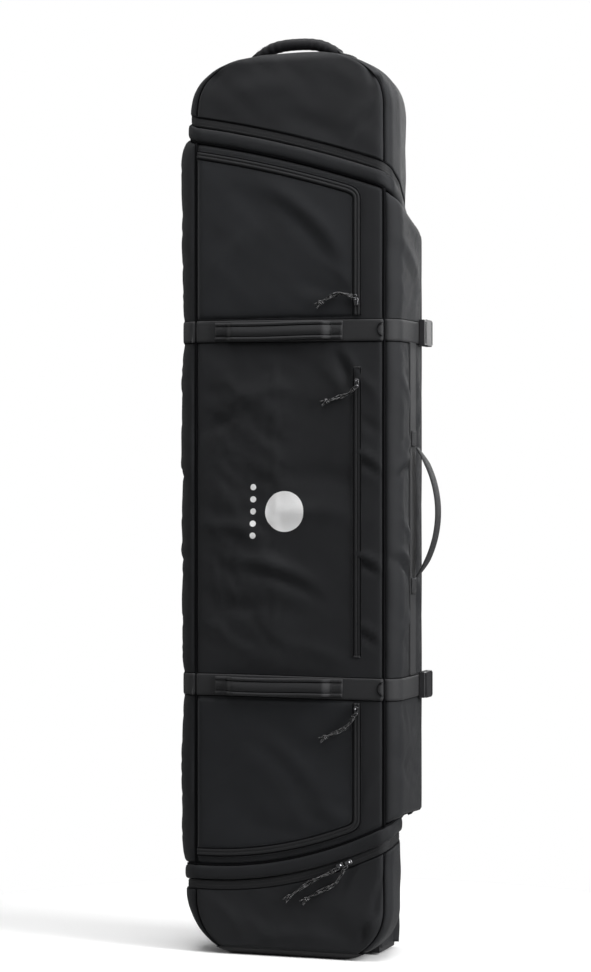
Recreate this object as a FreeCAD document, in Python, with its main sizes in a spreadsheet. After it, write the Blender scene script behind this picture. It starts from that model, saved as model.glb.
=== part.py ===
import FreeCAD, Part
import math
import os

# A wheeled, padded snowboard bag, standing on its moulded foot and its two wheels.
# +X is to the right of someone who faces the pocket side, +Y runs through the bag from the
# pocket side to the back, and +Z runs up the bag's length. The origin is on the foot's sole.
# The lid (middle front and both middle side walls) turns about the left rear edge.

V = FreeCAD.Vector
UP = V(0, 0, 1)
RIGHT = V(1, 0, 0)
BACK = V(0, 1, 0)

doc = FreeCAD.newDocument("snowboard_bag")
sheet = doc.addObject("Spreadsheet::Sheet", "sizes")

SIZES = {
    # outer shape of the bag
    "bag_height": 1600, "front_y": -95, "back_y": 80, "wall": 10,
    "mid_half": 200, "mid_front_round": 30, "mid_rear_round": 25,
    "cap_half": 186, "cap_front_round": 24, "cap_rear_round": 34, "cap_shoulder_y": -30,
    "top_rear_half": 165, "foot_rear_half": 150,
    "top_round": 95, "foot_round": 95, "top_rear_round": 80, "edge_round": 18,
    # the opening's two slanted edges, given on the front face at the left, middle and right
    "slit_span": 184,
    "top_slit_left": 1476, "top_slit_bulge": 8.5, "top_slit_right": 1380,
    "top_slope_left": 0.25, "top_slope_right": -0.41,
    "foot_slit_left": 131, "foot_slit_bulge": -25, "foot_slit_right": 213,
    "foot_slope_left": -0.2, "foot_slope_right": 0.13,
    "tape_wide": 18, "tape_thick": 2.5, "roll_wide": 26, "roll_proud": 3, "roll_deep": 12,
    "seam_gap": 0.5, "lid_rear_y": 54, "tub_rear_y": 61, "seam_half": 176, "hinge_clear_y": 28,
    # pockets on the lid
    "pocket_left": -172, "pocket_right": 133, "pocket_thick": 3, "pocket_round": 22,
    "pocket_inset": 44, "zip_wide": 12, "zip_thick": 1.4,
    "top_pocket_low": 1130, "foot_pocket_high": 455,
    "mid_zip_low": 534, "mid_zip_high": 1041,
    # webbing
    "strap_wide": 38, "strap_thick": 2.4, "strap_lift": 0.6, "strap_end_y": 41,
    "top_strap_height": 1107, "foot_strap_height": 478,
    "grab_left": -137, "grab_right": 101, "grab_gap": 9.6, "grab_thick": 3.5, "grab_wide": 32,
    "grab_tab": 20, "grab_ramp": 16, "tack_radius": 13, "tack_thick": 1.2,
    "side_tape_y": -5, "side_tape_wide": 38, "side_tape_thick": 1.8,
    "side_handle_low": 671, "side_handle_high": 902, "side_handle_out": 245,
    "side_handle_foot": 207, "side_handle_wide": 26, "side_handle_end": 12,
    "side_handle_thick": 4, "side_anchor_long": 28, "side_anchor_thick": 3.2,
    # padded handle on the top end
    "top_handle_half": 70, "top_handle_y": -45, "top_handle_foot": 1608, "top_handle_peak": 1619,
    "top_handle_thick": 13, "top_anchor_long": 24, "top_anchor_wide": 30,
    # side-release buckles
    "buckle_x": 203.4, "buckle_thick": 11, "female_y": 45, "female_long": 34, "female_half": 24,
    "male_y": 27, "male_long": 17.5, "male_half": 23, "prong_long": 20, "prong_half": 18,
    # moulded foot, wheels and their housings
    "kick_thick": 4, "kick_high": 12, "tray_half": 90, "tray_front_y": -80,
    "tray_rear_y": 66, "housing_inner": 95.5, "housing_outer": 144.5,
    "housing_front": -20, "housing_low": 4, "housing_high": 108, "cheek_inner": 9,
    "cheek_outer": 11, "housing_wall": 8,
    "wheel_radius": 45, "wheel_wide": 24, "wheel_x": 119, "wheel_y": 40, "core_radius": 30,
    "bearing_radius": 11, "bearing_long": 7, "axle_radius": 4, "axle_play": 0.05,
    "bolt_head": 6.5, "bolt_head_long": 3.6, "nut_across": 13, "nut_long": 6,
    "rivet_radius": 2.2, "rivet_long": 13, "rivet_x": 60, "rivet_front_y": -10, "rivet_rear_y": 52,
    # the back: stiffening board, skid rails and their screws
    "board_half": 120, "board_y": 65, "board_thick": 3, "board_low": 116, "board_high": 1512,
    "rail_x": 95, "rail_wide": 16, "rail_high": 5.6, "rail_low": 290, "rail_top": 1250,
    "rail_ramp": 18, "screw_radius": 2, "screw_head": 4.4, "screw_head_long": 1.8,
    "board_strap_half": 138, "board_strap_y": 60.4, "board_strap_thick": 1.6,
    "board_strap_low": 420, "board_strap_high": 1150, "lock_x": 20, "lock_long": 34,
    "lock_half": 24, "lock_slot_half": 20,
    # zip sliders and their cords
    "slider_wide": 9, "slider_long": 13, "slider_thick": 3.4, "bridge_wide": 2.6,
    "bridge_high": 3.6, "bridge_long": 8, "cord_radius": 3, "knot_radius": 5, "knot_long": 9,
}

for row, (alias, number) in enumerate(SIZES.items(), 1):
    sheet.set(f"A{row}", alias)
    sheet.set(f"B{row}", str(number))
    sheet.setAlias(f"B{row}", alias)
doc.recompute()

parts = []


def size(alias):
    return float(sheet.get(alias))


def keep(thing, label):
    """Mark an object of the document as one of the bag's pieces."""
    thing.Label = label
    parts.append(thing)
    return thing


# ---------------------------------------------------------------- parametric building blocks

def bind(thing, expressions):
    for name, expression in expressions.items():
        thing.setExpression(name, expression)
    return thing


def place(thing, x="0", y="0", z="0"):
    return bind(thing, {"Placement.Base.x": x, "Placement.Base.y": y, "Placement.Base.z": z})


def box(name, low, span):
    """A block from its low corner; low and span are expressions on the sheet."""
    made = doc.addObject("Part::Box", name)
    bind(made, dict(zip(("Length", "Width", "Height"), span)))
    return place(made, *low)


def rod(name, radius, long, foot, axis):
    """A cylinder from the point foot along an axis, all given as expressions."""
    made = doc.addObject("Part::Cylinder", name)
    made.Placement = FreeCAD.Placement(V(0, 0, 0), FreeCAD.Rotation(UP, axis))
    bind(made, {"Radius": radius, "Height": long})
    return place(made, *foot)


def fuse(name, shapes):
    made = doc.addObject("Part::MultiFuse", name)
    made.Shapes = shapes
    return made


def cut(name, base, tools):
    made = doc.addObject("Part::Cut", name)
    made.Base = base
    made.Tool = tools[0] if len(tools) == 1 else fuse(name + "_tools", tools)
    return made


def group(name, links):
    """Separate solids that share one node."""
    made = doc.addObject("Part::Compound", name)
    made.Links = links
    return made


def body(name):
    return doc.addObject("PartDesign::Body", name)


def sketch(owner, name, role, edges, offset=0):
    """A sketch on one of the body's own origin planes, moved along the plane's normal."""
    made = owner.newObject("Sketcher::SketchObject", name)
    plane = [feature for feature in owner.Origin.OriginFeatures if feature.Role == role][0]
    made.AttachmentSupport = [(plane, "")]
    made.MapMode = "FlatFace"
    made.AttachmentOffset = FreeCAD.Placement(V(0, 0, offset), FreeCAD.Rotation())
    for edge in edges:
        made.addGeometry(edge, False)
    return made


def ring(points):
    """A closed outline of straight edges through flat points."""
    corners = [V(u, v, 0) for u, v in points]
    return [Part.LineSegment(a, b) for a, b in zip(corners, corners[1:] + corners[:1])]


def rectangle(u_low, v_low, u_high, v_high):
    return ring([(u_low, v_low), (u_high, v_low), (u_high, v_high), (u_low, v_high)])


def pad(owner, name, profile, long, symmetric=True):
    """A pad whose length is an expression on the sheet."""
    made = owner.newObject("PartDesign::Pad", name)
    made.Profile = profile
    made.SideType = "Symmetric" if symmetric else "One side"
    made.setExpression("Length", long)
    doc.recompute()
    return made


def pocket_through(owner, name, profile):
    """A pocket through everything, both ways; it has to take material away."""
    before = owner.Shape.Volume
    made = owner.newObject("PartDesign::Pocket", name)
    made.Profile = profile
    made.Type = "ThroughAll"
    made.Midplane = True
    doc.recompute()
    if owner.Shape.Volume >= before:
        raise ValueError(f"{name} cuts nothing")
    return made


def fillet(owner, name, radius, wanted):
    """Round the edges of the body that the test wanted(edge) picks."""
    tip = owner.Tip
    edges = [f"Edge{i}" for i, edge in enumerate(tip.Shape.Edges, 1) if wanted(edge)]
    made = owner.newObject("PartDesign::Fillet", name)
    made.Base = (tip, edges)
    made.Radius = radius
    doc.recompute()
    return made


def runs_along(edge, direction):
    a, b = edge.Vertexes[0].Point, edge.Vertexes[-1].Point
    return (b - a).Length > 1e-6 and abs((b - a).normalize().dot(direction)) > 0.999


# ------------------------------------------------------------------- shapes of the soft parts

PLANES = {
    "xy": (lambda u, v, w: V(u, v, w), UP),
    "xz": (lambda u, v, w: V(u, w, v), BACK),
    "yz": (lambda u, v, w: V(w, u, v), RIGHT),
}


def rounded(corners, plane, low, high):
    """A prism over a convex outline of corners (u, v, radius), from low to high."""
    point, axis = PLANES[plane]
    edges, ends = [], []
    for i, (u, v, radius) in enumerate(corners):
        here = V(u, v, 0)
        before = V(*corners[i - 1][:2], 0) - here
        after = V(*corners[(i + 1) % len(corners)][:2], 0) - here
        before.normalize()
        after.normalize()
        half = math.acos(max(-1, min(1, before.dot(after)))) / 2
        reach = radius / math.tan(half)
        centre = here + (before + after).normalize() * (radius / math.sin(half))
        middle = centre + (here - centre).normalize() * radius
        ends.append((here + before * reach, middle, here + after * reach))
    for i, (start, middle, end) in enumerate(ends):
        flat = [point(p.x, p.y, low) for p in (start, middle, end)]
        edges.append(Part.Arc(*flat).toShape())
        following = ends[(i + 1) % len(ends)][0]
        if (following - end).Length > 1e-6:
            edges.append(Part.LineSegment(flat[2], point(following.x, following.y, low)).toShape())
    return Part.Face(Part.Wire(edges)).extrude(axis * (high - low))


def mirrored(corners):
    """Corners on the right, from the front backwards, and the same ones on the left."""
    return corners + [(-u, v, radius) for u, v, radius in reversed(corners)]


def trunk(half, plan, out):
    """The bag's whole outer form grown by out: its plan, its front view and its side view."""
    front, back = size("front_y") - out, size("back_y") + out
    low, high = -out, size("bag_height") + out
    top, foot, edge = size("top_round"), size("foot_round"), size("edge_round")
    view = [(half + out, low, foot + out), (half + out, high, top + out)]
    side = [(front, low, edge + out), (back, low, edge + out),
            (back, high, size("top_rear_round") + out), (front, high, edge + out)]
    form = rounded(plan, "xy", low - 1, high + 1)
    form = form.common(rounded(mirrored(view), "xz", front - 1, back + 1))
    return form.common(rounded(side, "yz", -half - out - 1, half + out + 1))


def middle_form(out):
    half, front, back = size("mid_half") + out, size("front_y") - out, size("back_y") + out
    plan = [(half, front, size("mid_front_round") + out), (half, back, size("mid_rear_round") + out)]
    return trunk(size("mid_half"), mirrored(plan), out)


def cap_form(rear_half, out):
    half, front, back = size("cap_half") + out, size("front_y") - out, size("back_y") + out
    plan = [(half, front, size("cap_front_round") + out),
            (half, size("cap_shoulder_y"), 60),
            (rear_half + out, back, size("cap_rear_round") + out)]
    return trunk(size("cap_half"), mirrored(plan), out)


def skin(form, outer, deep):
    """A layer of the form between outer and outer - deep."""
    return form(outer).cut(form(outer - deep))


def block(x=(-400, 400), y=(-400, 400), z=(-400, 2000)):
    return Part.makeBox(x[1] - x[0], y[1] - y[0], z[1] - z[0], V(x[0], y[0], z[0]))


def slit_height(end, x, y):
    """Height of the opening's edge at the end 'top' or 'foot', at any place x, y."""
    span = size("slit_span")
    share = (x + span) / (2 * span)
    level = size(end + "_slit_left") * (1 - share) + size(end + "_slit_right") * share
    bulge = size(end + "_slit_bulge") * (1 - (x / span) ** 2)
    slope = size(end + "_slope_left") * (1 - share) + size(end + "_slope_right") * share
    return level + bulge + slope * (y - size("front_y"))


def zone(low, high):
    """The space between two heights; each is a number or (end, how far above its slit)."""
    half, layers = 260, []
    for y in (-140, 120):
        rows = []
        for limit in (low, high):
            at = [limit if isinstance(limit, (int, float)) else slit_height(limit[0], x, y) + limit[1]
                  for x in (-half, 0, half)]
            rows.append([V(-half, y, at[0]), V(0, y, at[1]), V(half, y, at[2])])
        lower, upper = [
            (Part.Arc(*row) if abs(row[1].z * 2 - row[0].z - row[2].z) > 1e-6
             else Part.LineSegment(row[0], row[2])).toShape() for row in rows]
        right = Part.LineSegment(rows[0][2], rows[1][2]).toShape()
        left = Part.LineSegment(rows[1][0], rows[0][0]).toShape()
        layers.append(Part.Wire([lower, right, upper, left]))
    return Part.makeLoft(layers, True, True)


def soft(label, shape):
    """A fabric, padded or webbing piece, whose form comes from the functions above."""
    made = doc.addObject("Part::Feature", label)
    made.Shape = shape.removeSplitter()
    made.Placement = FreeCAD.Placement()
    return keep(made, label)


def both_sides(shape):
    """The shape and its mirror image about the bag's middle plane."""
    return [shape, shape.mirror(V(0, 0, 0), RIGHT)]


# --------------------------------------------------------------------------- tub: the shell

def top_form(out):
    return cap_form(size("top_rear_half"), out)


def foot_form(out):
    return cap_form(size("foot_rear_half"), out)


def housing_space(play):
    """Room for the wheel housings in the soft end of the bag."""
    low, high = size("housing_inner") - play, size("housing_outer") + play
    room = block((low, high), (size("housing_front") - play, 200), (-10, size("housing_high") + play))
    behind = block((low, 400), (size("back_y") - 22, 200), (-10, size("housing_high") + play))
    right = room.fuse(behind)
    return right.fuse(right.mirror(V(0, 0, 0), RIGHT))


def screw_heights():
    low, high = size("rail_low"), size("rail_top")
    return [low + 30 + (high - low - 60) * i / 3 for i in range(4)]


def screw_holes(radius, y_low, y_high):
    return [Part.makeCylinder(radius, y_high - y_low, V(side * size("rail_x"), y_low, height), BACK)
            for side in (-1, 1) for height in screw_heights()]


gap, wall = size("seam_gap"), size("wall")
tape, roll = size("tape_wide"), size("roll_wide")
lid_gap = roll + 2
rear = size("tub_rear_y")

before_zip, behind_zip = block(y=(-400, rear - gap)), block(y=(rear - gap, 400))
top_room = zone(("top", tape + gap), 1700).common(before_zip)
top_room = top_room.fuse(zone(("top", 2 * gap - lid_gap), 1700).common(behind_zip))
soft("top_cap", skin(top_form, 0, wall).common(top_room))

foot_room = zone(-100, ("foot", -tape - gap)).common(before_zip)
foot_room = foot_room.fuse(zone(-100, ("foot", lid_gap - 2 * gap)).common(behind_zip))
foot_room = foot_room.common(block(z=(size("kick_high") + gap, 400))).cut(housing_space(0.7))
soft("bottom_cap", skin(foot_form, 0, wall).common(foot_room))

middle_room = zone(("foot", lid_gap), ("top", -lid_gap))
back_panel = skin(middle_form, 0, wall).common(middle_room).common(block(y=(rear, 400)))
soft("back_panel", back_panel.cut(screw_holes(size("screw_radius") + 0.1, 0, 200)))

board = box("board_plate", ("-sizes.board_half", "sizes.board_y", "sizes.board_low"),
            ("2 * sizes.board_half", "sizes.board_thick", "sizes.board_high - sizes.board_low"))
board_holes = [
    rod(f"board_hole_{side}_{i}", "sizes.screw_radius + 0.1", "20",
        (f"{sign}sizes.rail_x", "sizes.board_y - 8", str(height)), BACK)
    for side, sign in (("left", "-"), ("right", ""))
    for i, height in enumerate(screw_heights())]
keep(cut("board", board, board_holes), "back_board")

tape_layer = (-2, size("tape_thick"))
front_of_rear = block(y=(-400, rear - 1))
soft("zip_tape_top", skin(top_form, *tape_layer)
     .common(zone(("top", gap), ("top", tape - gap))).common(front_of_rear))
soft("zip_tape_bottom", skin(foot_form, *tape_layer)
     .common(zone(("foot", gap - tape), ("foot", -gap))).common(front_of_rear))
side_tape_room = block((150, 400), (size("lid_rear_y") + gap, rear - gap))
soft("zip_tape_side", skin(middle_form, -2, size("tape_thick")).common(side_tape_room)
     .common(middle_room))

# moulded foot: a shallow tray whose sole the bag stands on
kick = foot_form(0).common(block(z=(-10, size("kick_high"))))
kick = kick.cut(block((-size("tray_half"), size("tray_half")),
                      (size("tray_front_y"), size("tray_rear_y")), (size("kick_thick"), 50)))
rivet_places = [V(side * size("rivet_x"), y, 0) for side in (-1, 1)
                for y in (size("rivet_front_y"), size("rivet_rear_y"))]
rivet_holes = [Part.makeCylinder(size("rivet_radius") + 0.1, 30, p - UP * 5, UP)
               for p in rivet_places]
soft("kick_plate", kick.cut(housing_space(0.3)).cut(rivet_holes))
rivet_stems = [Part.makeCylinder(size("rivet_radius"), size("rivet_long"), p + UP * 0.4, UP)
               .fuse(Part.makeCylinder(2 * size("rivet_radius"), 1.6,
                                       p + UP * (size("kick_thick") + 0.1), UP))
               for p in rivet_places]
soft("kick_rivets", Part.makeCompound(rivet_stems))

# --------------------------------------------------------------- wheel housings and wheels

SIDES = (("left", -1), ("right", 1))


def mirror_of(thing, name):
    """The same piece on the left side of the bag."""
    made = doc.addObject("Part::Mirroring", name)
    made.Source = thing
    made.Base = V(0, 0, 0)
    made.Normal = RIGHT
    return made


def wheel_housing():
    """Inverted box, open below and behind, with two cheeks that carry the axle."""
    made = body("housing")
    front, high, low = size("housing_front"), size("housing_high"), size("housing_low")
    outline = ring([(front, low), (68, low), (76, 16), (79.6, 60), (79.6, high), (front, high)])
    middle = (size("housing_inner") + size("housing_outer")) / 2
    pad(made, "block", sketch(made, "side_view", "YZ_Plane", outline, middle),
        "sizes.housing_outer - sizes.housing_inner")
    fillet(made, "soft_edges", 5, lambda edge: runs_along(edge, RIGHT)
           and edge.CenterOfMass.z > high - 1 and edge.CenterOfMass.y < 0)
    well_low = size("housing_inner") + size("cheek_inner")
    well_high = size("housing_outer") - size("cheek_outer")
    wall_y = front + size("housing_wall")
    well = made.newObject("PartDesign::Pocket", "well")
    well.Profile = sketch(made, "well_view", "XZ_Plane",
                          rectangle(well_low, low - 5, well_high, high - 10), -wall_y)
    well.Type = "ThroughAll"
    before = made.Shape.Volume
    doc.recompute()
    if made.Shape.Volume >= before or made.Shape.BoundBox.YMin > front + 1:
        well.Reversed = True
        doc.recompute()
    hole = [Part.Circle(V(size("wheel_y"), size("wheel_radius"), 0), UP, size("axle_radius") + 0.1)]
    pocket_through(made, "axle_hole", sketch(made, "axle_view", "YZ_Plane", hole, middle))
    return made


housing = keep(wheel_housing(), "wheel_housing_right")
keep(mirror_of(housing, "housing_mirror"), "wheel_housing_left")


def turned(name, outline):
    """A body turned about the local X axis from an outline of (x, radius) points."""
    made = body(name)
    profile = sketch(made, name + "_section", "XY_Plane", ring(outline))
    turn = made.newObject("PartDesign::Revolution", name + "_turn")
    turn.Profile = profile
    turn.ReferenceAxis = (profile, ["H_Axis"])
    turn.Angle = 360
    doc.recompute()
    return made


def wheel(side, sign):
    """Urethane tyre on a nylon core, with two ball bearings and the spacer between them."""
    half, radius = size("wheel_wide") / 2, size("wheel_radius")
    core, seat, long = size("core_radius"), size("bearing_radius"), size("bearing_long")
    centre = (f"{sign} * sizes.wheel_x", "sizes.wheel_y", "sizes.wheel_radius")
    tyre = turned(f"tyre_{side}", [
        (-half, core + 0.05), (half, core + 0.05), (half, radius - 9), (half - 2.5, radius - 4),
        (half - 6, radius - 0.8), (3, radius), (-3, radius), (6 - half, radius - 0.8),
        (2.5 - half, radius - 4), (-half, radius - 9)])
    hub = turned(f"hub_{side}", [
        (-half, seat + 0.05), (long - half, seat + 0.05), (long - half, seat - 2.5),
        (half - long, seat - 2.5), (half - long, seat + 0.05), (half, seat + 0.05), (half, seat + 4),
        (half - 5, seat + 5), (half - 5, core - 4), (half - 1, core - 3), (half - 1, core),
        (1 - half, core), (1 - half, core - 3), (5 - half, core - 4), (5 - half, seat + 5),
        (-half, seat + 4)])
    inner = size("axle_radius") + size("axle_play")
    races = [turned(f"bearing_{side}_{i}", [
        (low, inner), (low + long, inner), (low + long, inner + 2), (low + long - 0.6, inner + 2.4),
        (low + long - 0.6, seat - 2), (low + long, seat - 1.6), (low + long, seat), (low, seat),
        (low, seat - 1.6), (low + 0.6, seat - 2), (low + 0.6, inner + 2.4), (low, inner + 2)])
        for i, low in enumerate((-half, half - long))]
    spacer = turned(f"spacer_{side}", [
        (long - half + 0.1, inner), (half - long - 0.1, inner), (half - long - 0.1, inner + 1.6),
        (long - half + 0.1, inner + 1.6)])
    for made in (tyre, hub, *races, spacer):
        place(made, *centre)
    keep(tyre, f"wheel_tyre_{side}")
    keep(hub, f"wheel_hub_{side}")
    keep(group(f"bearings_{side}_set", [*races, spacer]), f"wheel_bearings_{side}")


for side, sign in SIDES:
    wheel(side, sign)


def axle_bolt():
    stem = rod("axle_stem", "sizes.axle_radius", "sizes.housing_outer - sizes.housing_inner + 7.5",
               ("sizes.housing_inner - 7", "sizes.wheel_y", "sizes.wheel_radius"), RIGHT)
    head = rod("axle_head", "sizes.bolt_head", "sizes.bolt_head_long",
               ("sizes.housing_outer + 0.1", "sizes.wheel_y", "sizes.wheel_radius"), RIGHT)
    return fuse("axle", [stem, head])


def axle_nut():
    made = body("nut")
    radius = size("nut_across") / math.sqrt(3)
    corners = [(radius * math.cos(math.radians(60 * i)), radius * math.sin(math.radians(60 * i)))
               for i in range(6)]
    pad(made, "hexagon", sketch(made, "hexagon_view", "YZ_Plane", ring(corners)), "sizes.nut_long")
    hole = [Part.Circle(V(0, 0, 0), UP, size("axle_radius") + 0.05)]
    pocket_through(made, "thread", sketch(made, "thread_view", "YZ_Plane", hole))
    return place(made, "sizes.housing_inner - sizes.nut_long / 2 - 0.1", "sizes.wheel_y",
                 "sizes.wheel_radius")


bolt, nut = axle_bolt(), axle_nut()
keep(group("bolts", [bolt, mirror_of(bolt, "bolt_left")]), "axle_bolts")
keep(group("nuts", [nut, mirror_of(nut, "nut_left")]), "axle_nuts")

# ------------------------------------------------------------ back: skid rails and screws


def skid_rail():
    made = body("rail")
    low, high, ramp = size("rail_low"), size("rail_top"), size("rail_ramp")
    foot, top = size("back_y") + 0.4, size("back_y") + 0.4 + size("rail_high")
    outline = ring([(foot, low), (top, low + ramp), (top, high - ramp), (foot, high)])
    pad(made, "bar", sketch(made, "bar_view", "YZ_Plane", outline), "sizes.rail_wide")
    for i, height in enumerate(screw_heights()):
        hole = [Part.Circle(V(0, height, 0), UP, size("screw_radius") + 0.1)]
        pocket_through(made, f"screw_hole_{i}", sketch(made, f"hole_view_{i}", "XZ_Plane", hole))
    return place(made, "sizes.rail_x")


def seated(rail):
    """The rail with a flat-bottomed seat for each screw's head."""
    seats = [rod(f"screw_seat_{i}", "sizes.screw_head + 0.2", "sizes.screw_head_long + 5",
                 ("sizes.rail_x", "sizes.back_y + 0.4 + sizes.rail_high - sizes.screw_head_long",
                  str(height)), BACK) for i, height in enumerate(screw_heights())]
    return cut("seated_rail", rail, seats)


rail = seated(skid_rail())
keep(group("rails", [rail, mirror_of(rail, "rail_left")]), "skid_rails")


def rail_screw(i, height):
    head_y = "sizes.back_y + 0.5 + sizes.rail_high - sizes.screw_head_long"
    head = rod(f"screw_head_{i}", "sizes.screw_head", "sizes.screw_head_long - 0.1",
               ("sizes.rail_x", head_y, str(height)), BACK)
    stem = rod(f"screw_stem_{i}", "sizes.screw_radius", "22",
               ("sizes.rail_x", head_y + " - 21.9", str(height)), BACK)
    nut = rod(f"screw_nut_{i}", "sizes.screw_radius + 3", "2",
              ("sizes.rail_x", "sizes.board_y - 2.1", str(height)), BACK)
    return fuse(f"screw_{i}", [head, stem, nut])


screws = [rail_screw(i, height) for i, height in enumerate(screw_heights())]
keep(group("screws", screws + [mirror_of(s, s.Name + "_left") for s in screws]), "rail_screws")

# ---------------------------------------------------- inside straps that hold the snowboard


def board_strap(name, height):
    return box(name, ("-sizes.board_strap_half", "sizes.board_strap_y",
                      f"{height} - sizes.strap_wide / 2"),
               ("2 * sizes.board_strap_half", "sizes.board_strap_thick", "sizes.strap_wide"))


def ladder_lock(name, height):
    """Ladder-lock frame that the inside strap runs through."""
    frame = box(name + "_frame", ("sizes.lock_x", "sizes.board_strap_y - 2.2",
                                  f"{height} - sizes.lock_half"),
                ("sizes.lock_long", "sizes.board_strap_thick + 4", "2 * sizes.lock_half"))
    slot = box(name + "_slot", ("sizes.lock_x - 10", "sizes.board_strap_y - 0.2",
                                f"{height} - sizes.lock_slot_half"),
               ("sizes.lock_long + 20", "sizes.board_strap_thick + 0.4", "2 * sizes.lock_slot_half"))
    return cut(name, frame, [slot])


board_heights = {"low": "sizes.board_strap_low", "high": "sizes.board_strap_high"}
keep(group("inner_straps", [board_strap(f"inner_strap_{end}", height)
                            for end, height in board_heights.items()]), "board_straps")
keep(group("inner_locks", [ladder_lock(f"lock_{end}", height)
                           for end, height in board_heights.items()]), "board_strap_buckles")

# ------------------------------------------------------------------------------ lid panels

lid_skin = skin(middle_form, 0, wall).common(middle_room)
seam, lid_rear = size("seam_half"), size("lid_rear_y")
soft("lid_front", lid_skin.common(block((-seam + gap, seam - gap), (-400, 0))))
soft("lid_right_side", lid_skin.common(block((seam + gap, 400), (-400, lid_rear))))
soft("lid_left_side", lid_skin.common(block((-400, -seam - gap), (-400, lid_rear))))

roll_layer = (size("roll_proud"), size("roll_deep"))
hinge_clear = block((-400, 0), (size("hinge_clear_y"), 400))
roll_room = block(y=(-400, lid_rear)).cut(hinge_clear)
soft("storm_roll_top", skin(top_form, *roll_layer)
     .common(zone(("top", -roll), ("top", -gap))).common(roll_room))
soft("storm_roll_bottom", skin(foot_form, *roll_layer)
     .common(zone(("foot", gap), ("foot", roll))).common(roll_room))

# --------------------------------------------------------------------------------- pockets


def pocket_outline(end, inset, y_low, y_high):
    """Slab under the slanted band, with one round corner; its free edges move in by inset."""
    right, far, middle = size("pocket_right") - inset, -400, size("bag_height") / 2
    if end == "top":
        away = -size("pocket_inset") - inset
        room = zone(size("top_pocket_low"), (end, away))
    else:
        away = size("pocket_inset") + inset
        room = zone((end, away), size("foot_pocket_high"))
    level, before = [slit_height(end, x, size("front_y")) + away for x in (right, right - 10)]
    tangent = (level - before) / 10
    corners = [(right, middle, 1), (right, level, size("pocket_round") - inset / 2),
               (far, level + tangent * (far - right), 1), (far, middle, 1)]
    slab = room.common(block((size("pocket_left"), right), (y_low, y_high)))
    return slab.common(rounded(corners, "xz", y_low - 1, y_high + 1))


front = size("front_y")
patch_y = (front - 0.4 - size("pocket_thick"), front - 0.4)
zip_y = (patch_y[0] - 0.1 - size("zip_thick"), patch_y[0] - 0.1)
for end, name in (("top", "top"), ("foot", "bottom")):
    soft(f"{name}_pocket", pocket_outline(end, 0, *patch_y))
    soft(f"{name}_pocket_zip",
         pocket_outline(end, 0, *zip_y).cut(pocket_outline(end, size("zip_wide"), *zip_y)))

keep(box("mid_zip", ("sizes.pocket_right - sizes.zip_wide", "sizes.front_y - 0.4 - sizes.zip_thick",
                     "sizes.mid_zip_low"),
         ("sizes.zip_wide", "sizes.zip_thick", "sizes.mid_zip_high - sizes.mid_zip_low")),
     "middle_pocket_zip")

# --------------------------------------------------------------- straps and grab handles


def strap(height):
    half, lift = size("strap_wide") / 2, size("strap_lift")
    room = block((-seam, 400), (-400, size("strap_end_y")), (height - half, height + half))
    return skin(middle_form, lift + size("strap_thick"), size("strap_thick")).common(room)


def grab_handle(height):
    """Folded webbing sewn down at both ends and standing off the strap between them."""
    left, right = size("grab_left"), size("grab_right")
    tab, ramp, thick = size("grab_tab"), size("grab_ramp"), size("grab_thick")
    base = front - size("strap_lift") - size("strap_thick") - 0.3
    lifted = base - size("grab_gap")
    inner = [(left, base), (left + tab, base), (left + tab + ramp, lifted),
             (right - tab - ramp, lifted), (right - tab, base), (right, base)]
    outer = [(x, y - thick) for x, y in reversed(inner)]
    low = height - size("grab_wide") / 2
    loop = [V(x, y, low) for x, y in inner + outer]
    return Part.Face(Part.makePolygon(loop + loop[:1])).extrude(UP * size("grab_wide"))


def tack(height):
    """Half-moon of dense stitching against the right-hand seam."""
    face = front - size("strap_lift") - size("strap_thick") - 0.2
    disc = Part.makeCylinder(size("tack_radius"), size("tack_thick"),
                             V(seam + 3, face - size("tack_thick"), height), BACK)
    return disc.common(block((0, seam + 3)))


strap_heights = {"top": size("top_strap_height"), "bottom": size("foot_strap_height")}
for name, height in strap_heights.items():
    soft(f"strap_{name}", strap(height))
    soft(f"grab_handle_{name}", grab_handle(height))
soft("strap_tacks", Part.makeCompound([tack(height) for height in strap_heights.values()]))

# ---------------------------------------------------------------- side tape and side handle

keep(box("side_tape", ("sizes.mid_half + sizes.strap_lift", "sizes.side_tape_y - sizes.side_tape_wide / 2",
                       "sizes.foot_strap_height + sizes.strap_wide / 2 + 1"),
         ("sizes.side_tape_thick", "sizes.side_tape_wide",
          "sizes.top_strap_height - sizes.foot_strap_height - sizes.strap_wide - 2")), "side_tape")


def side_anchor(name, low):
    return box(name, ("sizes.mid_half + sizes.strap_lift + sizes.side_tape_thick + 0.3",
                      "sizes.side_tape_y - sizes.side_handle_wide / 2", low),
               ("sizes.side_anchor_thick", "sizes.side_handle_wide", "sizes.side_anchor_long"))


keep(group("anchors", [
    side_anchor("anchor_low", "sizes.side_handle_low - sizes.side_anchor_long - 1"),
    side_anchor("anchor_high", "sizes.side_handle_high + 1")]), "side_handle_anchors")


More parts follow.
